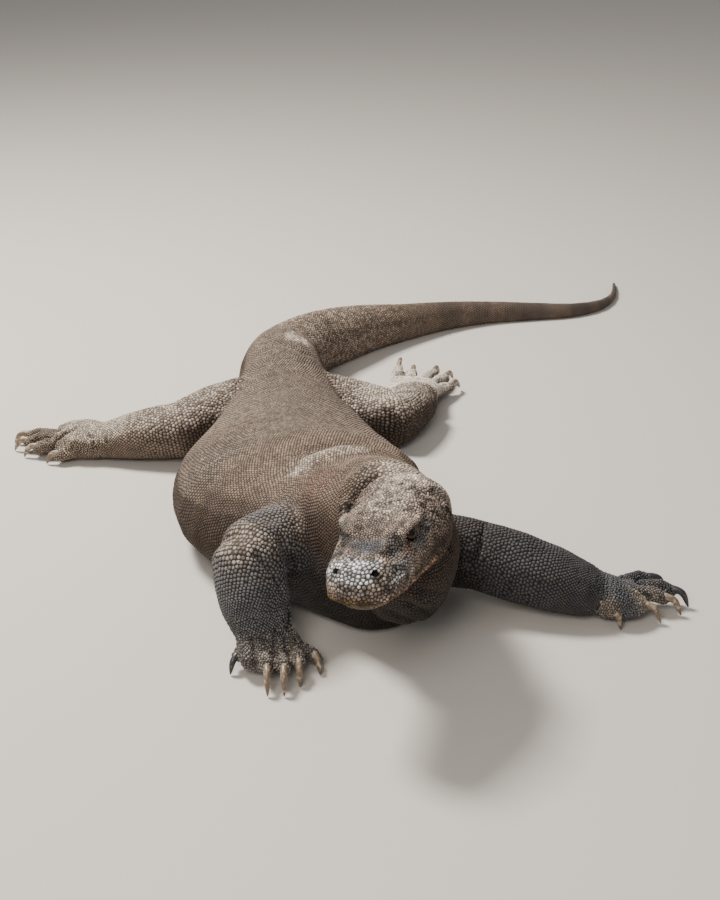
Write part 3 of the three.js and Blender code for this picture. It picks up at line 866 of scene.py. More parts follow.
def lay_rings(name):
    line = lines[name]
    numbers = [flesh_nodes.index(n) for n in chains[name]]
    kind = name.split("_")[0]
    total = reach_of(line)[-1]
    at, row, count, last_edge, last_step = 0.4 * PITCH[kind] * MM, 0, 0, None, None
    angles = math.pi / 2 + np.arange(PROBES + 1) / PROBES * math.tau
    while at < total:
        centre, tangent, side, up = square_to(line, at, LOOK_ASIDE)
        radii = np.array([hit[3] or 0 for hit in cast_ring(centre, side, up, angles)])
        radii = np.where(radii == 0, np.median(radii), radii)[:, None]
        edge = centre + radii * (np.cos(angles)[:, None] * side + np.sin(angles)[:, None] * up)
        girth = reach_of(edge)
        pitch = PITCH[kind]
        if kind == "trunk":
            pitch = np.clip(TAIL_TIP_PITCH + girth[-1] / MM * GIRTH_SHARE, TAIL_TIP_PITCH, pitch)
        wrist = {"leg": ease(total - at, *WRIST), "toe": 1.0, "trunk": 0.0}[kind]
        if kind == "leg":
            pitch -= WRIST_FINER * wrist
        ideal = max(8, round(girth[-1] / MM / pitch))
        if abs(ideal - count) > HOLD_COUNT * ideal:
            count = ideal
        places = (np.arange(count) + 0.5 * (row % 2)) / count * girth[-1]
        stray = dice.uniform(-UNEVEN[kind], UNEVEN[kind], (2, count))
        stray = stray * pitch * MM * (1 - 0.7 * wrist)
        around = np.interp((places + stray[0]) % girth[-1], girth, angles)
        for location, normal, face, _ in cast_ring(centre, side, up, around,
                                                   stray[1][:, None] * tangent):
            if location is None or label[face_point[face]] not in numbers:
                continue
            if normal.z < UNDERSIDE and location.z < UNDERSIDE_HEIGHT:
                continue
            if abs(normal @ Vector(tangent)) <= STEEPEST:
                roots.append(Root(location[:], normal[:], tangent, face, pitch))
        spread = 1.0
        if last_edge is not None:
            moved = np.linalg.norm(edge - last_edge, axis=1)
            spread = np.percentile(moved, ROW_PERCENTILE) / last_step
            spread = np.clip(spread, 1.0, MOST_SPREAD)
        last_edge, last_step = edge, pitch * MM * ROW_STEP / spread * (1 - BANDED_ROWS * wrist)
        at += last_step
        row += 1


for name in lines:
    before = len(roots)
    lay_rings(name)
    if not name.startswith("toe"):
        print("%-16s %d scales in rings" % (name, len(roots) - before))

# %% [markdown]
# ## Filling the rest
# Rings can't reach armpits, palms or the face. There a dart is thrown at every skin
# point in random order and stays if no scale is too near. Round the face this gives the
# uneven pavement that a monitor really has, coarse on the nose and fine on the cheeks.

# %% Spacing of the free scales
HEAD_SPACING, FINE_SPACING, NAPE_SPACING = 3.9, 3.5, 3.6  # mm
BELLY_COARSER, BELLY_SPACING = 1.5, 5.0  # how much broader, and at least so many mm
place = to_head(skin.points)
spacing = np.full(len(skin.points), PITCH["trunk"])
spacing[np.isin(label, numbers_of(("upper_arm", "forearm", "thigh", "shank")))] = PITCH["leg"]
spacing[fine_part] = FINE_SPACING
on_nose = ease(place[:, 0], 148, 166) * ease(place[:, 2], -4, 10)
round_eye = ease(np.linalg.norm(np.abs(place) - (EYE_AHEAD, EYE_ASIDE, EYE_UP), axis=1), 26, 12)
on_lip = bump(above_mouth, 5, 5) * ease(place[:, 0], 50, 70)
head_spacing = HEAD_SPACING + 1.3 * on_nose - 1.3 * round_eye + 0.9 * on_lip
head_spacing -= 0.7 * ease(place[:, 0], 60, 95) * (1 - on_nose) * ease(place[:, 2], 20, 34)
spacing[is_head] = head_spacing[is_head]
by_skull = ease(place[:, 0], -45, -15) * is_part["neck"]
spacing -= (spacing - NAPE_SPACING) * by_skull
belly_side = (skin_normals[:, 2] < UNDERSIDE) & (skin.points[:, 2] < UNDERSIDE_HEIGHT)
spacing[belly_side] = np.maximum(spacing[belly_side] * BELLY_COARSER, BELLY_SPACING)
spacing = skin.soften(spacing, 3)
print("spacing: %.1f to %.1f mm" % (spacing.min(), spacing.max()))

# %% Throw the darts
CROWDING = 0.84  # free scales may stand this close, as a share of the spacing
RING_CROWDING = 0.62  # and scales in rings this close
CELL = 6 * MM
bare = (pits > 0.45) | (rim_of_eye > 0.35) | ((np.abs(above_mouth) < 1.3) & (front > 0.3))


def far_enough(grid, place, limit):
    """Whether no place in the grid is nearer than the limit; if so, it is added."""
    cell = tuple(np.floor(place / CELL).astype(int))
    for neighbour in product(*((i - 1, i, i + 1) for i in cell)):
        for other in grid.get(neighbour, ()):
            gap = (place[0] - other[0]) ** 2 + (place[1] - other[1]) ** 2
            if gap + (place[2] - other[2]) ** 2 < limit * limit:
                return False
    grid.setdefault(cell, []).append(place)
    return True


def tree_of(places):
    tree = KDTree(len(places))
    for i, place in enumerate(places):
        tree.insert(place, i)
    tree.balance()
    return tree


grid = {}
roots = [root for root in roots
         if far_enough(grid, np.array(root.place), root.pitch * RING_CROWDING * MM)]
in_rings = len(roots)

point_face = np.zeros(len(skin.points), int)
coarse = []
for number, face in enumerate(skin.faces):
    point_face[list(face)] = number
    if not (is_head[face[0]] or fine_part[face[0]]):
        coarse.append((number, skin.points[list(face)].mean(0)))
ring_tree = tree_of([root.place for root in roots])
room = spacing * CROWDING * MM
places = [(i, point_face[i], skin.points[i]) for i in np.flatnonzero(~bare)]
places += [(face_point[number], number, middle) for number, middle in coarse]
places = [place for place in places if ring_tree.find(place[2])[2] > room[place[0]]]
for pick in dice.permutation(len(places)):
    i, number, spot = places[pick]
    if far_enough(grid, spot, room[i]):
        lie = -head_axes[0] if is_head[i] else None
        roots.append(Root(spot, skin_normals[i], lie, number, spacing[i]))
print("scales:", len(roots), "of which in rings:", in_rings)

# %% [markdown]
# ## Markings
# Hide and scales must carry the same markings, so they are written once, on the skin's
# points, as soft masks from 0 to 1: dark slate legs, warm neck, pale dust on every
# surface that has lain in the dirt, blue-grey round the eyes, white plates on the nose,
# stained lips, a pale sole and the bands of the tail. Some masks also paint light: painted
# shade in creases, hollows and pits and on low and downward sides, and painted highlights
# on the nape, the collar fold and the edge of the brow. Each scale reads them at its root.

# %% Paint the masks
def parts_mask(prefixes, rounds=40):
    chosen = np.isin(label, numbers_of(prefixes)).astype(float)
    return np.clip(skin.soften(chosen, rounds), 0, 1)


def blob(centre, radius):
    """A soft round patch in the model's frame, in millimetres."""
    gap = np.linalg.norm(skin.points / MM - centre, axis=1)
    return ease(gap, radius, radius * 0.25)


def patch_on_head(centre, radius):
    gap = np.linalg.norm((place - centre) / radius, axis=1)
    return ease(gap, 1.0, 0.35)


def both_sides(patches):
    """Patches on the left of the head and their mirrors: ahead, left, up, radii, weight."""
    return sum(weight * patch_on_head((x, side * y, z), radii) for side in (1, -1)
               for x, y, z, radii, weight in patches)


def band_on_head(path, width):
    mask = np.zeros(len(skin.points))
    for side in (1, -1):
        curve = smooth_path(from_head(np.multiply(path, (1, side, 1))))
        gap = nearest_on_path(skin.points[is_head], curve)[0]
        mask[is_head] = np.maximum(mask[is_head], bump(gap / MM, 0, width))
    return mask


def band(path, width):
    gap, share = nearest_on_path(skin.points / MM, smooth_path(path))
    return bump(gap, 0, width) * ease(share, 0, 0.2) * ease(share, 1, 0.8)


above_mouth = place[:, 2] - mouth_height(place[:, 0])
height = skin.points[:, 2] / MM
top_facing = ease(skin_normals[:, 2], 0.1, 0.8)
facing_up = skin_normals[:, 2]
tail_share = nearest_on_path(skin.points, tail_line)[1]
tail_part = parts_mask(("tail",), 30)
head_part = parts_mask(("head", "lower_jaw"))

masks = {}
hind = parts_mask(("thigh", "shank", "foot"), 20)
shoulder_cap = blob((-150, -655, 160), 55) * top_facing
# Dark: slate forelegs, darker towards the bottom, and dark patches on the snout; the term for
# parts near the floor and the two blobs under the head and chest are painted shade.
masks["dark"] = (
    parts_mask(("upper_arm", "forearm", "hand")) * (0.75 + 0.35 * ease(height, 150, 60))
    * (1 - 0.55 * shoulder_cap)
    + 0.55 * ease(height, 75, 20) * (1 - head_part) * (1 - hind) * (1 - 0.6 * tail_part)
    + 0.8 * patch_on_head((150, 42, 6), (44, 26, 24))
    + 0.8 * patch_on_head((150, -42, 6), (44, 26, 24))
    + 0.9 * patch_on_head((138, 0, 38), (26, 34, 22))
    + 0.7 * patch_on_head((192, 0, 3), (30, 42, 11))
    + 0.8 * blob((-50, -640, 70), 95) + 0.55 * blob((90, -730, 110), 80))
# Umber: painted shade on the flanks and on the lower neck and chest where they face sideways or
# down; it also darkens the cheeks, the lower side of the face, the thighs except where they face
# up, and the far tail.
side_facing = ease(facing_up, 0.88, 0.3)
jaw_side = ease(place[:, 2], 6, -14) * head_part
masks["umber"] = (
    1.3 * parts_mask(("chest", "belly", "hips"), 40) * side_facing * ease(height, 232, 132)
    + 1.35 * parts_mask(("neck", "chest"), 30) * ease(height, 250, 160) * side_facing
    + 0.75 * jaw_side * ease(place[:, 0], 150, 105)
    + 1.1 * parts_mask(("thigh", "shank_hind_left"), 20) * (1 - 0.35 * top_facing)
    + 0.4 * parts_mask(("shank_hind_right",), 20) * (1 - 0.7 * top_facing)
    + 0.5 * tail_part * ease(tail_share, 0.3, 0.5)
    + 0.7 * patch_on_head((40, 62, -4), (60, 30, 26)))
# Painted shade in the crease behind the skull and in the hollows of the head.
skull_crease_shade = band([(-2, -690, 184), (-1, -661, 213), (8, -651, 232), (28, -641, 249),
                     (46, -637, 257), (64, -636, 260)], 6.5)
head_hollow_shade = head_part * both_sides((
    (-2, 42, 34, (15, 15, 20), 0.5), (97, 4, 42, (15, 16, 18), 0.28),
    (34, 47, 34, (24, 11, 16), 0.5), (126, 42, 21, (16, 9, 12), 0.3),
    (60, 62, -34, (34, 30, 26), 0.35), (92, 60, -8, (22, 20, 14), 0.3)))
# Painted shade: the crease and hollows, the left foreleg, the low left shank, the low and
# downward-facing neck, chest and belly, and the undersides of the upper arms and the head.
masks["night"] = (
    skull_crease_shade + head_hollow_shade
    + 0.8 * parts_mask(("upper_arm_front_left", "forearm_front_left"), 20)
    + 0.5 * parts_mask(("shank_hind_left",), 10) * ease(height, 85, 45)
    + parts_mask(("neck",), 20) * ease(height, 150, 85) * ease(facing_up, 0.5, 0)
    + 0.35 * parts_mask(("chest", "belly"), 20) * ease(height, 130, 60)
    + 0.7 * parts_mask(("upper_arm",), 10) * ease(facing_up, 0.1, -0.3)
    + 0.7 * head_part * ease(facing_up, -0.2, -0.6))
masks["warm"] = (
    parts_mask(("neck", "chest"), 50) * 0.75 + 0.6 * parts_mask(("tail",), 40)
    + 0.5 * parts_mask(("lower_jaw",), 20) + 0.4 * blob((-191, 29, 110), 80))
masks["rust"] = (
    0.75 * blob((-40, -570, 205), 60) + 0.4 * blob((-175, -300, 110), 90)
    + 0.5 * patch_on_head((80, 60, -14), (34, 20, 16))
    + 0.7 * patch_on_head((122, 44, 18), (16, 10, 12)))
# Painted highlights, laid on with the pale dust paint: along the edge of the brow, over the collar
# fold and on the top of the nape.
brow_highlight = band_on_head([(52, 47, 38), (74, 50, 39), (98, 46, 40), (114, 37, 39)], 4.5)
collar = band([(-96, -512, 180), (-69, -494, 194), (-49, -478, 200), (-26, -466, 202),
               (6, -452, 199), (40, -460, 192)], 17)
nape_highlight = 1.2 * blob((84, -640, 258), 85) * top_facing
crown = patch_on_head((45, 0, 50), (70, 60, 26)) * head_part
# Pale dust on the crown, the shoulder, the tops of the hind legs, the tail and the hips, plus the
# painted highlights above.
masks["dust"] = (
    collar + nape_highlight + 0.5 * shoulder_cap + 0.6 * crown
    + 0.6 * hind * ease(height, 35, 75) * top_facing
    + 0.35 * tail_part * ease(tail_share, 0.4, 0.2)
    + 0.8 * blob((-452, -60, 55), 90) * top_facing
    + 1.2 * blob((-100, 165, 146), 42)
    + 0.45 * blob((60, 40, 110), 80) * top_facing + 0.7 * brow_highlight * is_head)
round_the_eye = both_sides((
    (128, 34, 29, (30, 17, 17), 1), (134, 8, 33, (22, 20, 18), 1),
    (94, 54, 17, (28, 15, 15), 1), (66, 56, 24, (26, 14, 14), 1)))
masks["blue"] = (
    round_the_eye + 0.5 * parts_mask(("forearm", "hand"))
    + 0.5 * ease(tail_share, 0.45, 0.8) * tail_part)
masks["white"] = (
    ease(place[:, 0], 154, 169) * ease(place[:, 2], 8, 18) * ease(place[:, 1], 34, 24) * head_part
    + 0.5 * patch_on_head((168, 40, 6), (34, 22, 16)) * (1 - pits))
masks = {name: np.clip(mask, 0, 1) for name, mask in masks.items()}
MUDDY_TOES = {"front_left_1": 1.5, "front_left_2": 1.4, "front_left_3": 0.7,
              "front_right_1": 0.6, "front_right_2": 0.8, "front_right_3": 0.8,
              "front_right_4": 0.7}
MUD_REACH, MUD_WIDTH = 34.0, (25, 11)  # mm back from the claw, and fading across it
masks["mud"] = 0.45 * parts_mask(("hand_front_right",))
for name, strength in MUDDY_TOES.items():
    root, tip = claws["claw_" + name]
    toe = np.array([root, root + unit((root - tip) * (1, 1, 0)) * MUD_REACH * MM])
    rows = np.flatnonzero(is_part[paw_of("claw_" + name)])
    gap, share = nearest_on_path(skin.points[rows], toe)
    rolls = 0.9 - 0.2 * np.cos(share * MUD_REACH / TOE_BAND_LENGTH * math.tau)
    patch = strength * ease(gap / MM, *MUD_WIDTH) * ease(share, 1, 0.4) * rolls
    masks["mud"][rows] = np.maximum(masks["mud"][rows], patch.clip(0, 1))
masks["lip"] = (1.4 * bump(above_mouth, 4.5, 4.0) * ease(place[:, 0], 55, 80)
                * ease(place[:, 0], 192, 172) * is_head).clip(0, 1.2)
masks["ochre"] = (1.6 * bump(above_mouth, 3, 8) * ease(place[:, 0], 168, 190)
                  * ease(place[:, 1], 34, 12) * is_head)
# Painted shade: nearly black in the nostrils and ears, on the rim of the eye and along the parting
# of the lips.
masks["pit"] = np.clip(np.maximum(pits, rim_of_eye * 0.9)
                       + is_head * bump(above_mouth, 0, 2.0) * front, 0, 1)
sole = parts_mask(("foot_hind_left",), 14)
masks["sole"] = sole * ease(height, 16, 34) * ease(skin.points[:, 1] / MM, 120, 165)
rings_of_tail = 0.5 + 0.5 * np.sin(tail_share * 64 + 1.4 * np.sin(tail_share * 23))
masks["rugged"] = head_part
masks["band"] = tail_part * ease(tail_share, 0.06, 0.14) * ease(rings_of_tail, 0.45, 0.95)
print("masks:", {name: round(float(mask.mean()), 3) for name, mask in masks.items()})

# %% [markdown]
# ## The shape of one scale
# A scale is a low dome on a cell of pavement. Each scale looks at its nearest neighbours
# and takes the ground up to halfway between them, less a gap. So the pavement closes
# everywhere, with six-sided beads on the back and irregular plates on the face, and no
# two scales overlap. The dome leans back along the lie of the coat.

# %% Cells of the pavement
SIDES = 6
NEIGHBOURS = 9
GAP = 0.46  # clear skin between scales, mm
WIDEST = 0.7  # of the spacing
NARROWEST = 0.2
NOSE_GAP = 0.1  # how much narrower the plates of the nose are
NOSE_TIP = (207, 0, 4)


def region_of(node):
    """The name of the line that a node's scales follow, or head."""
    leg = "leg_" + "_".join(node.split("_")[-2:])
    return "trunk" if node in TRUNK else leg if leg in lines else "head"


root_points = np.array([tuple(root.place) for root in roots], float)
root_up = unit(np.array([tuple(root.up) for root in roots], float))
root_pitch = np.array([root.pitch for root in roots], float) * MM
root_point = face_point[np.array([root.face for root in roots])]
root_label = label[root_point]
root_region = np.array([region_of(node) for node in flesh_nodes])[root_label]

lie = np.zeros_like(root_points)
along, turn = np.zeros((2, len(root_points)))
for region in sorted(set(root_region)):
    rows = np.flatnonzero(root_region == region)
    if region == "head":
        around = to_head(root_points[rows])
        lie[rows] = -head_axes[0]
        along[rows] = np.linalg.norm(root_points[rows] - from_head(NOSE_TIP), axis=1)
        turn[rows] = np.arctan2(around[:, 2] + 8, around[:, 1])
        continue
    line = lines[region]
    share = nearest_on_path(root_points[rows], line)[1]
    at = share * reach_of(line)[-1]
    tangent = unit(point_at(line, at, unit(np.gradient(line, axis=0))))
    side = unit(np.cross(tangent, (0, 0, 1)))
    offset = root_points[rows] - point_at(line, at)
    lie[rows] = tangent
    along[rows] = at + np.maximum((offset * tangent).sum(1), 0) * (share > 0.999)
    turn[rows] = np.arctan2(offset[:, 2], (offset * side).sum(1))
for i, root in enumerate(roots):
    if root.lie is not None:
        lie[i] = root.lie
lie = unit(lie - root_up * (lie * root_up).sum(1, keepdims=True) + 1e-9)
across = np.cross(root_up, lie)

tree = tree_of(root_points)
nearest = np.array([[found[1] for found in tree.find_n(point, NEIGHBOURS + 1)][1:]
                    for point in root_points])
offset = root_points[nearest] - root_points[:, None]
gap = np.linalg.norm(offset, axis=2)
same_side = (root_up[nearest] * root_up[:, None]).sum(2) > 0.2
x = (offset * lie[:, None]).sum(2)
y = (offset * across[:, None]).sum(2)
flat = np.maximum(np.hypot(x, y), 1e-9)
x, y = x / flat * gap, y / flat * gap
angles = np.arange(SIDES) / SIDES * math.tau
heading_x, heading_y = np.cos(angles), np.sin(angles)
facing = x[:, :, None] * heading_x + y[:, :, None] * heading_y
limit = np.where((facing > 1e-6) & same_side[:, :, None],
                 gap[:, :, None] ** 2 / (2 * np.maximum(facing, 1e-6)), 1.0)
cell = np.minimum(limit.min(1), WIDEST * root_pitch[:, None])
cell = np.maximum(cell - GAP / 2 * MM, NARROWEST * root_pitch[:, None])
cell *= 1 - NOSE_GAP * masks["white"][root_point][:, None]
ring = heading_x[:, None] * lie[:, None] + heading_y[:, None] * across[:, None]
ring = cell[:, :, None] * ring
rim = np.empty_like(ring)  # the rim of each scale, laid down on the skin
for i, spots in enumerate(root_points[:, None] + ring):
    for k, spot in enumerate(spots):
        rim[i, k] = surface.find_nearest(spot)[0]
rim -= root_points[:, None]
print("mean scale width %.2f mm" % (2 * cell.mean() / MM))

# %% [markdown]
# ## From cells to mesh
# Every scale has an outer ring just under the skin, a shoulder ring, one crown point and
# a closed base, 22 triangles. Its map coordinates are one small patch at the place where
# its root falls on the unrolled skin, so that baked colours never run into each other.

# %% Build the scale meshes
SHOULDER, TRUNK_SHOULDER = 0.80, 0.70  # radius of the shoulder ring, as a share of the cell
SHOULDER_HEIGHT = 0.78
LIFT = 0.5  # how far the rear edge rises, as a share of the height
SUNK = 0.35 * MM
LEAN, SHOULDER_LEAN = 0.16, 0.6
LOWEST = 0.05 * MM  # of any scale above the floor
SHOULDER_RISE = {"trunk": 0.72, "leg": 0.78, "head": 0.88}
RIM_RISE = {"trunk": 0.12, "leg": 0.36, "fine": 0.42, "head": 0.46, "sole": 0.7}
FINE_HEIGHT, NOSE_HEIGHT, HEAD_HEIGHT = 0.8, 0.2, -0.35  # a factor, and two additions
PATCH = 0.0014  # half the size of a scale's patch on the map
MARGIN = 0.02

scale_height = 1.05 * COAT_DEPTH * np.clip(root_pitch / (PITCH["trunk"] * MM), 0.55, 1.25)
on_fine = np.isin(root_label, numbers_of(FINE_PARTS))
scale_height = np.where(on_fine, scale_height * FINE_HEIGHT, scale_height)
scale_height *= dice.uniform(0.85, 1.15, len(root_points))
nose = masks["white"][root_point]
of_trunk, of_head = root_region == "trunk", root_region == "head"
on_head = of_head * (1 - nose)
rim_rise = np.where(of_trunk, RIM_RISE["trunk"], RIM_RISE["leg"])
rim_rise = np.where(on_fine, RIM_RISE["fine"], rim_rise)
rim_rise = np.where(of_head, RIM_RISE["head"] * (1 - 0.8 * nose), rim_rise)
rim_rise += (RIM_RISE["sole"] - rim_rise) * masks["sole"][root_point]
shoulder_at = np.where(of_trunk, TRUNK_SHOULDER, SHOULDER)
shoulder_rise = np.where(of_trunk, SHOULDER_RISE["trunk"], SHOULDER_RISE["leg"])
shoulder_rise = np.where(of_head | on_fine, SHOULDER_RISE["head"], shoulder_rise)
scale_height *= 1 + NOSE_HEIGHT * nose + HEAD_HEIGHT * on_head
tone = dice.uniform(0, 1, len(root_points)).astype(np.float32)

PIECES = {  # the starts of the names of the nodes that each covers
    "scales_head": ("head", "lower_jaw"), "scales_neck": ("neck",), "scales_chest": ("chest",),
    "scales_belly_left": ("belly",), "scales_belly_right": ("belly",), "scales_hips": ("hips",),
    "scales_tail_root": ("tail_1", "tail_2"),
    "scales_tail_tip": ("tail_3", "tail_4", "tail_5"),
    "scales_forelegs": ("upper_arm", "forearm"), "scales_hindlegs": ("thigh", "shank"),
    "scales_hands": ("hand",), "scales_feet": ("foot",),
}


def stretch(values):
    low, high = values.min(), values.max()
    return MARGIN + (1 - 2 * MARGIN) * (values - low) / max(high - low, 1e-9)


def map_places(rows):
    """Where each root falls on the unrolled skin of its piece."""
    u, v = np.zeros((2, len(rows)))
    regions = sorted(set(root_region[rows]))
    for number, region in enumerate(regions):
        here = root_region[rows] == region
        ids = rows[here]
        if on_fine[ids].any():
            end, tangent = lines[region][-1], unit(lines[region][-1] - lines[region][-3])
            side = unit(np.cross(tangent, (0, 0, 1)))
            u[here] = stretch((root_points[ids] - end) @ tangent)
            half = stretch((root_points[ids] - end) @ side) / 2
            v[here] = half + 0.5 * (root_up[ids, 2] < 0)
        else:
            u[here] = stretch(along[ids])
            v[here] = MARGIN + (1 - 2 * MARGIN) * (turn[ids] / math.tau + 0.5)
        v[here] = (number + v[here]) / len(regions)
    return u, v


def scale_mesh(name, rows):
    def each(values):
        return values[rows][:, None, None]

    root, up, tall = root_points[rows][:, None], root_up[rows][:, None], each(scale_height)
    back = (LEAN * cell[rows].mean(1))[:, None, None] * lie[rows][:, None]
    lift = (LIFT * np.maximum(heading_x, 0))[None, :, None] * tall * each(1 - on_head)
    outer = root + rim[rows] + up * (lift - SUNK)
    shoulder = root + each(shoulder_at) * rim[rows]
    shoulder = shoulder + up * tall * SHOULDER_HEIGHT + back * SHOULDER_LEAN
    crown = root + up * tall + back
    points = np.concatenate([outer, shoulder, crown], axis=1)
    points[:, :, 2] = np.maximum(points[:, :, 2], LOWEST)
    count, per = points.shape[:2]
    k = np.arange(SIDES)
    n = (k + 1) % SIDES
    faces = [np.stack([k, n, SIDES + n], 1), np.stack([k, SIDES + n, SIDES + k], 1),
             np.stack([SIDES + k, SIDES + n, np.full(SIDES, 2 * SIDES)], 1)]
    base = np.stack([np.zeros(SIDES - 2, int), k[2:], k[1:-1]], 1)
    pattern = np.concatenate(faces + [base])
    starts = np.arange(count) * per
    triangles = (pattern[None] + starts[:, None, None]).reshape(-1, 3)
    rise = np.ones((count, per))
    rise[:, :SIDES] = rim_rise[rows][:, None]
    rise[:, SIDES : 2 * SIDES] = shoulder_rise[rows][:, None]
    numbers = {"rise": rise.ravel(), "tone": np.repeat(tone[rows], per)}
    for key, mask in masks.items():
        numbers[key] = np.repeat(mask[root_point[rows]], per)
    mesh = new_mesh(name, points.reshape(-1, 3), triangles, numbers)
    spot = np.zeros((per, 2))
    spot[:SIDES] = np.stack([heading_x, heading_y], 1) * PATCH
    spot[SIDES : 2 * SIDES] = spot[:SIDES] * SHOULDER
    corners = np.concatenate([spot[np.concatenate(faces)].reshape(-1, 2),
                              np.tile([PATCH, 0], (3 * len(base), 1))])
    places = np.stack(map_places(rows), 1)[:, None] + corners[None]
    layer = mesh.uv_layers.new(name="OFBake")
    layer.uv.foreach_set("vector", places.astype(np.float32).ravel())
    return mesh


def place_piece(name, mesh, material, nodes=()):
    piece = bpy.data.objects.new(name, mesh)
    bpy.context.collection.objects.link(piece)
    mesh.materials.append(material)
    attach(piece, "root")
    if nodes:
        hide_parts(*nodes)


# %% [markdown]
# ## Hide and horn as materials
# One node group mixes the markings into two tones: the lit crown of a scale and the dark
# skin in the gaps. Both the hide and the scales use it, each with its own shader. Colour
# is given as the paint one would mix, and dust settles where the surface looks upward;
# the same pale paint is a painted highlight on the nape, the collar fold and the brow.

# %% Node helpers
def paint(code):
    """A colour written as six hex digits, as the linear light that shaders work in."""
    channels = [int(code[i : i + 2], 16) / 255 for i in (0, 2, 4)]
    return (*(c / 12.92 if c <= 0.04045 else ((c + 0.055) / 1.055) ** 2.4 for c in channels), 1)


class Nodes:
    """Small shorthand for building a node tree."""

    def __init__(self, tree):
        self.tree = tree

    def set(self, node, **inputs):
        """Gives inputs by name, or by number as in i0, a value or another node's output."""
        for name, value in inputs.items():
            socket = node.inputs[int(name[1:]) if name[1:].isdigit() else name.replace("_", " ")]
            if isinstance(value, bpy.types.NodeSocket):
                self.tree.links.new(value, socket)
            else:
                socket.default_value = value

    def add(self, kind, settings=(), **inputs):
        node = self.tree.nodes.new(kind)
        for name, value in dict(settings).items():
            setattr(node, name, value)
        self.set(node, **inputs)
        return node

    def maths(self, operation, a, b, clamp=False):
        node = self.add("ShaderNodeMath", {"operation": operation, "use_clamp": clamp}, i0=a, i1=b)
        return node.outputs[0]

    def plus(self, a, b, clamp=False):
        return self.maths("ADD", a, b, clamp)

    def times(self, a, b, clamp=False):
        return self.maths("MULTIPLY", a, b, clamp)

    def edge(self, value, start, slope):
        """0 up to the start and 1 soon after it."""
        return self.times(self.maths("SUBTRACT", value, start), slope, clamp=True)

    def blend(self, factor, a, b, mode="MIX"):
        node = self.add("ShaderNodeMix", {"data_type": "RGBA", "blend_type": mode},
                        i0=factor, i6=a, i7=b)
        return node.outputs[2]

    def mask(self, name):
        return self.add("ShaderNodeAttribute", {"attribute_name": name}).outputs["Fac"]

    def place(self):
        return self.add("ShaderNodeTexCoord").outputs["Object"]

    def noise(self, where, scale, detail):
        node = self.add("ShaderNodeTexNoise", Vector=where, Scale=scale, Detail=detail)
        return node.outputs["Fac"]

    def relief(self, strength, depth, height):
        node = self.add("ShaderNodeBump", Strength=strength, Distance=depth, Height=height)
        return node.outputs[0]


def new_material(name):
    material = bpy.data.materials.new(name)
    material.use_nodes = True
    material.node_tree.nodes.clear()
    nodes = Nodes(material.node_tree)
    shader = nodes.add("ShaderNodeBsdfPrincipled")
    nodes.add("ShaderNodeOutputMaterial", Surface=shader.outputs[0])
    return material, nodes, shader


# %% The hide's tones
CROWN_TONE, GAP_TONE = paint("a49181"), paint("211812")
# The dark brown and slate paints are partly painted shade, the near-black paint and the pit paint
# are painted shade, and the pale dust paint is partly a painted highlight.
MARKING_PAINTS = [  # mask, paint on the crowns, paint in the gaps, strength
    ("warm", "a98f79", "281a10", 0.75), ("rust", "b08670", "3a1f13", 0.65),
    ("umber", "4f3b2d", "0e0704", 0.94), ("dark", "70747a", "111213", 0.92),
    ("night", "3a322b", "0b0806", 0.92), ("blue", "565a60", "15171b", 0.7),
    ("band", "a08a78", "4a3c30", 0.55), ("dust", "f0e1cf", "776757", 0.9),
    ("mud", "b9a996", "5c4e41", 0.85), ("white", "f6f6f6", "101011", 0.94),
    ("lip", "9d7c69", "5a3c2e", 0.9), ("ochre", "6f5424", "2a1b0b", 0.9),
    ("sole", "f6ede1", "dccfbd", 0.96), ("pit", "0f0a08", "080605", 0.97),
]
RAGGED_FROM, RAGGED_CLOUDS, RAGGED_POWER = 0.85, 0.5, 0.6  # how markings break up at edges
LIT_FROM = 0.42  # the rise of a scale, over its specks, at which its crown tone is full
MOTTLE = 4.2  # how strongly the head is mottled
ROUGHEST, SPECKLED = 0.55, 0.4
HIDE_SPECULAR = 0.35

tones = bpy.data.node_groups.new("hide tones", "ShaderNodeTree")
for name, way, kind in (("Rise", "INPUT", "Float"), ("Tone", "INPUT", "Float"),
                        ("Color", "OUTPUT", "Color"), ("Roughness", "OUTPUT", "Float"),
                        ("Height", "OUTPUT", "Float")):
    tones.interface.new_socket(name, in_out=way, socket_type="NodeSocket" + kind)
nodes = Nodes(tones)
given = nodes.add("NodeGroupInput").outputs
where = nodes.place()
clouds = nodes.noise(where, 9.0, 4.0)
blotches = nodes.noise(where, 60.0, 4.0)
patches = nodes.noise(where, 85.0, 4.0)
specks = nodes.noise(where, 260.0, 3.0)
grain = nodes.noise(where, 900.0, 2.0)
crown, gap_tone = CROWN_TONE, GAP_TONE
for name, on_crown, in_gap, strength in MARKING_PAINTS:
    ragged = nodes.plus(nodes.mask(name), nodes.times(clouds, RAGGED_CLOUDS))
    ragged = nodes.maths("SUBTRACT", nodes.plus(ragged, given["Tone"]), RAGGED_FROM)
    shown = nodes.times(nodes.mask(name), ragged, clamp=True)
    shown = nodes.times(nodes.maths("POWER", shown, RAGGED_POWER), strength, clamp=True)
    crown = nodes.blend(shown, crown, paint(on_crown))
    gap_tone = nodes.blend(shown, gap_tone, paint(in_gap))
lifted = nodes.times(given["Rise"], nodes.plus(specks, LIT_FROM), clamp=True)
colour = nodes.blend(lifted, gap_tone, crown)
shade = nodes.plus(0.5, nodes.times(given["Tone"], 0.6))
for clouding, low, span in ((clouds, 0.66, 0.62), (blotches, 0.4, 1.2)):
    shade = nodes.times(shade, nodes.plus(low, nodes.times(clouding, span)))
mottle = nodes.times(nodes.maths("SUBTRACT", patches, 0.5), MOTTLE)
shade = nodes.times(shade, nodes.plus(nodes.times(mottle, nodes.mask("rugged")), 1.0))
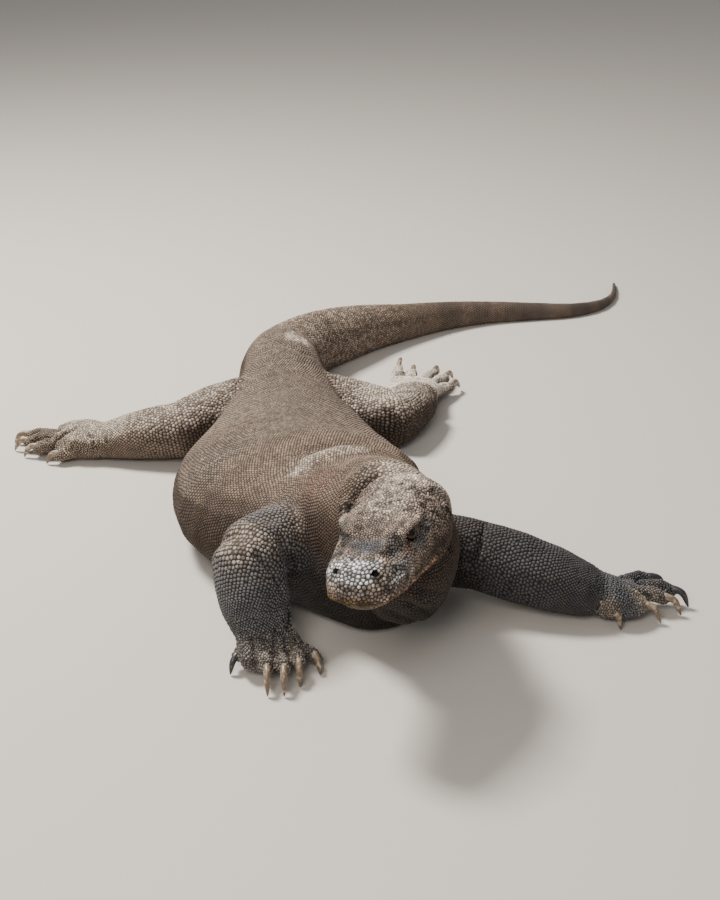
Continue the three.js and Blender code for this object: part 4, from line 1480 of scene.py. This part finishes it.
grey = nodes.add("ShaderNodeCombineColor", i0=shade, i1=shade, i2=shade).outputs[0]
colour = nodes.blend(1.0, colour, grey, "MULTIPLY")
rough = nodes.plus(ROUGHEST, nodes.times(specks, SPECKLED), clamp=True)
nodes.add("NodeGroupOutput", Color=colour, Roughness=rough, Height=grain)


def hide_material(name, rise, tone_value, bump_strength):
    """Rise and tone are numbers, or the names under which a mesh carries them."""
    material, nodes, shader = new_material(name)
    rise, tone_value = (nodes.mask(value) if isinstance(value, str) else value
                        for value in (rise, tone_value))
    group = nodes.add("ShaderNodeGroup", {"node_tree": tones}, Rise=rise, Tone=tone_value)
    relief = nodes.relief(bump_strength, 0.6 * MM, group.outputs["Height"])
    nodes.set(shader, Base_Color=group.outputs["Color"], Normal=relief,
              Roughness=group.outputs["Roughness"], Specular_IOR_Level=HIDE_SPECULAR)
    return material


hide_paint = hide_material("hide", 0.10, 0.4, 0.6)
scale_paint = hide_material("scale", "rise", "tone", 0.35)
print("paints on the hide:", len(MARKING_PAINTS))

# %% Lay skin and scales
MOST_TRIANGLES = 200_000
place_piece("skin", new_mesh("skin", skin.points, skin.faces, masks), hide_paint,
            flesh_nodes)
total = 0
for name, prefixes in PIECES.items():
    rows = np.flatnonzero(np.isin(root_label, numbers_of(prefixes)))
    if name.endswith(("_left", "_right")):
        rows = rows[(np.cos(turn[rows]) > 0) == name.endswith("_left")]
    mesh = scale_mesh(name, rows)
    place_piece(name, mesh, scale_paint)
    total += len(mesh.polygons)
    assert len(mesh.polygons) < MOST_TRIANGLES, name
    print("%-18s %6d scales, %7d triangles" % (name, len(rows), len(mesh.polygons)))
print("coat:", total, "triangles")

# %% [markdown]
# ## Eyes
# The ball is nearly all dark iris. A clear bulge at the front catches the light, and the
# iris lies as a darker ring round a round pupil. Both tones come from how directly a
# point faces the gaze, stored on the mesh.

# %% Eyeballs
BALL_RINGS, BALL_SIDES = 28, 40
CORNEA_BULGE, CORNEA_SPREAD = 0.7, 0.62  # mm, and radians from the gaze
CROWDED_FRONT = 1.3  # rings lie closer together at the front of the ball
PUPIL_EDGE, IRIS_EDGE = (0.36, 14.0), (0.66, 9.0)  # radians from the gaze, and sharpness


def eyeball(side):
    flip = np.array([1, 1 if side == "left" else -1, 1])
    gaze = unit(np.array(EYE_GAZE) * flip)
    long = unit(np.cross((0, 0, 1), gaze))
    high = np.cross(gaze, long)
    points, faces, spread = [gaze * (EYE_RADIUS + CORNEA_BULGE)], [], [0.0]
    for ring in range(1, BALL_RINGS):
        polar = math.pi * (ring / BALL_RINGS) ** CROWDED_FRONT
        bulge = math.cos(min(polar / CORNEA_SPREAD, 1) * math.pi / 2)
        radius = EYE_RADIUS + CORNEA_BULGE * max(0.0, bulge)
        for k in range(BALL_SIDES):
            turn_by = math.tau * k / BALL_SIDES
            round_gaze = long * math.cos(turn_by) + high * math.sin(turn_by)
            points.append((gaze * math.cos(polar) + round_gaze * math.sin(polar)) * radius)
            spread.append(polar)
    points.append(-gaze * EYE_RADIUS)
    spread.append(math.pi)
    for k in range(BALL_SIDES):
        n = (k + 1) % BALL_SIDES
        faces.append((0, 1 + k, 1 + n))
        for ring in range(BALL_RINGS - 2):
            a, b = 1 + ring * BALL_SIDES, 1 + (ring + 1) * BALL_SIDES
            faces.append((a + k, b + k, b + n, a + n))
        last = 1 + (BALL_RINGS - 2) * BALL_SIDES
        faces.append((len(points) - 1, last + n, last + k))
    points = eye_centre[side] + np.array(points) @ head_axes * MM
    return new_mesh("eyeball_" + side, points, faces, {"spread": spread})


eye_paint, nodes, shader = new_material("eye")
spread = nodes.mask("spread")
streaks = nodes.noise(nodes.place(), 1800.0, 3.0)
iris = nodes.blend(streaks, paint("140a05"), paint("2c1a0d"))
colour = nodes.blend(nodes.edge(spread, *PUPIL_EDGE), paint("050403"), iris)
colour = nodes.blend(nodes.edge(spread, *IRIS_EDGE), colour, paint("1c1512"))
nodes.set(shader, Base_Color=colour, Roughness=0.05, Specular_IOR_Level=0.35)
for side in ("left", "right"):
    place_piece("eyeball_" + side, eyeball(side), eye_paint, ["eye_" + side])
print("eyeball radius", EYE_RADIUS, "mm")

# %% [markdown]
# ## Claws
# A claw is a curved blade of horn, taller than wide, thick at the root where it comes out
# of the toe and worn blunt at the tip. It is swept along a bent line from the solid
# claw's own root to its own tip.

# %% Curved claws
CLAW_RINGS, CLAW_SIDES = 22, 16
CLAW_NARROW = 0.8
CLAW_ROOTED = 9.0 * MM  # how far the horn runs back inside the toe
CLAW_LOW = 3.0 * MM  # and how far it sinks there
CLAW_ARCH = 0.14  # how far the middle rises above the straight line, as a share of length
CLAW_STOUT = 1.15
CLAW_THINNEST, CLAW_THICKEST = 2.6 * MM, 5 * MM
CLAW_BLUNT = 0.6 * MM  # the radius left at the tip
CLAW_CLEARANCE = 0.2 * MM  # above the floor


def claw_mesh(node):
    root, tip = claws[node]
    points = solids[node][0]
    length = np.linalg.norm(tip - root)
    axis = (tip - root) / length
    along = (points - root) @ axis
    girth = np.linalg.norm(np.cross(points - root, axis), axis=1)
    thick = min(max(girth[along < 0.25 * length].max(), CLAW_THINNEST), CLAW_THICKEST)
    middle = points[np.abs(along - 0.5 * length) < 0.2 * length]
    waist = (middle.min(0) + middle.max(0)) / 2 if len(middle) > 5 else (root + tip) / 2
    above = unit(np.array([0, 0, 1]) - axis[2] * axis)
    waist = waist + above * CLAW_ARCH * length
    toe = node.replace("claw", "toe")
    inner = root - axis * CLAW_ROOTED
    if toe in lines:
        inner = point_at(lines[toe], CLAW_ROOTED)
    inner = inner - (0, 0, CLAW_LOW)
    line = smooth_path([inner, root - (0, 0, 0.3 * CLAW_LOW), waist, tip], 10)
    verts, faces = [], []
    shares = np.arange(CLAW_RINGS) / (CLAW_RINGS - 1)
    for share in shares.tolist():
        centre, _, side, up = square_to(line, reach_of(line)[-1] * share, MM)
        taper = (1 - share**3.0) ** 0.8
        radius = CLAW_STOUT * thick * taper * (0.72 + 0.28 * ease(share, 0, 0.35)) + CLAW_BLUNT
        for k in range(CLAW_SIDES):
            turn_by = math.tau * k / CLAW_SIDES
            below = max(0.0, -math.sin(turn_by))
            wide = math.cos(turn_by) * CLAW_NARROW * (1 - 0.25 * below)
            tall = math.sin(turn_by) * (1 - 0.22 * below**4)
            verts.append(centre + radius * (side * wide + up * tall))
    for ring in range(CLAW_RINGS - 1):
        a, b = ring * CLAW_SIDES, (ring + 1) * CLAW_SIDES
        for k in range(CLAW_SIDES):
            n = (k + 1) % CLAW_SIDES
            faces.append((a + k, a + n, b + n, b + k))
    faces.append(tuple(range(CLAW_SIDES))[::-1])
    faces.append(tuple(range(len(verts) - CLAW_SIDES, len(verts))))
    verts = np.array(verts)
    verts[:, 2] = np.maximum(verts[:, 2], CLAW_CLEARANCE)
    numbers = {"share": np.repeat(shares, CLAW_SIDES)}
    return new_mesh(node.replace("claw", "horn"), verts, faces, numbers)


def horn_material(name, root_paint, tip_paint, mud):
    material, nodes, shader = new_material(name)
    where = nodes.place()
    growth = nodes.add("ShaderNodeTexWave", {"wave_type": "BANDS"}, Vector=where, Scale=220.0,
                       Distortion=6.0, Detail=2.0).outputs["Fac"]
    stains = nodes.noise(where, 160.0, 4.0)
    colour = nodes.blend(nodes.mask("share"), paint(root_paint), paint(tip_paint))
    colour = nodes.blend(nodes.times(growth, 0.25), colour, paint("3a2f28"))
    clumps = nodes.edge(stains, 1 - mud, 6.0)
    colour = nodes.blend(clumps, colour, paint("b8a48c"))
    rough = nodes.plus(0.3, nodes.times(clumps, 0.5), clamp=True)
    nodes.set(shader, Base_Color=colour, Roughness=rough,
              Normal=nodes.relief(0.3, 0.4 * MM, stains))
    return material


muddy_horn = horn_material("muddy horn", "94816b", "5f4e40", 0.5)
dark_horn = horn_material("dark horn", "4a4a50", "23201f", 0.35)
DARK_CLAWS = ("claw_front_right_5", "claw_front_left_5", "claw_front_left_4")
for node in claw_names:
    horn = dark_horn if node in DARK_CLAWS else muddy_horn
    place_piece(node.replace("claw", "horn"), claw_mesh(node), horn, [node])
print("claws:", len(claw_names))

# %% [markdown]
# ## A plain studio
# A pale floor, one large soft key from the upper left, a weak fill and a bright, even
# world. Nothing here may compete with the animal.

# %% Floor, lights and world
FLOOR_SIZE = 14.0
WARM_LIGHT, WORLD_LIGHT, WORLD_STRENGTH = (1.0, 0.96, 0.9), (0.98, 0.98, 1.0, 1), 0.3
LIGHTS = {  # place, aimed at, watts, size in metres
    "key": ((-1.5, 0.7, 2.8), (0.0, -0.3, 0.1), 205, 0.8),
    "front": ((-0.6, -2.6, 1.9), (0.0, -0.5, 0.1), 38, 1.2),
}
floor_mesh = bpy.data.meshes.new("floor")
half = FLOOR_SIZE / 2
floor_mesh.from_pydata([(-half, -half, 0), (half, -half, 0), (half, half, 0), (-half, half, 0)],
                       [], [(0, 1, 2, 3)])
floor = bpy.data.objects.new("floor", floor_mesh)
bpy.context.collection.objects.link(floor)
floor_paint, nodes, shader = new_material("floor")
nodes.set(shader, Base_Color=paint("cfc8bf"), Roughness=0.9)
floor_mesh.materials.append(floor_paint)

for name, (spot, aim, power, size) in LIGHTS.items():
    light = bpy.data.lights.new(name, "AREA")
    light.energy, light.size, light.color = power, size, WARM_LIGHT
    lamp = bpy.data.objects.new(name, light)
    lamp.location = spot
    lamp.rotation_euler = (Vector(aim) - Vector(spot)).to_track_quat("-Z", "Y").to_euler()
    bpy.context.collection.objects.link(lamp)
world = bpy.data.worlds.new("studio")
world.use_nodes = True
Nodes(world.node_tree).set(world.node_tree.nodes["Background"], Color=WORLD_LIGHT,
                           Strength=WORLD_STRENGTH)
bpy.context.scene.world = world
print("lights:", ", ".join(LIGHTS))
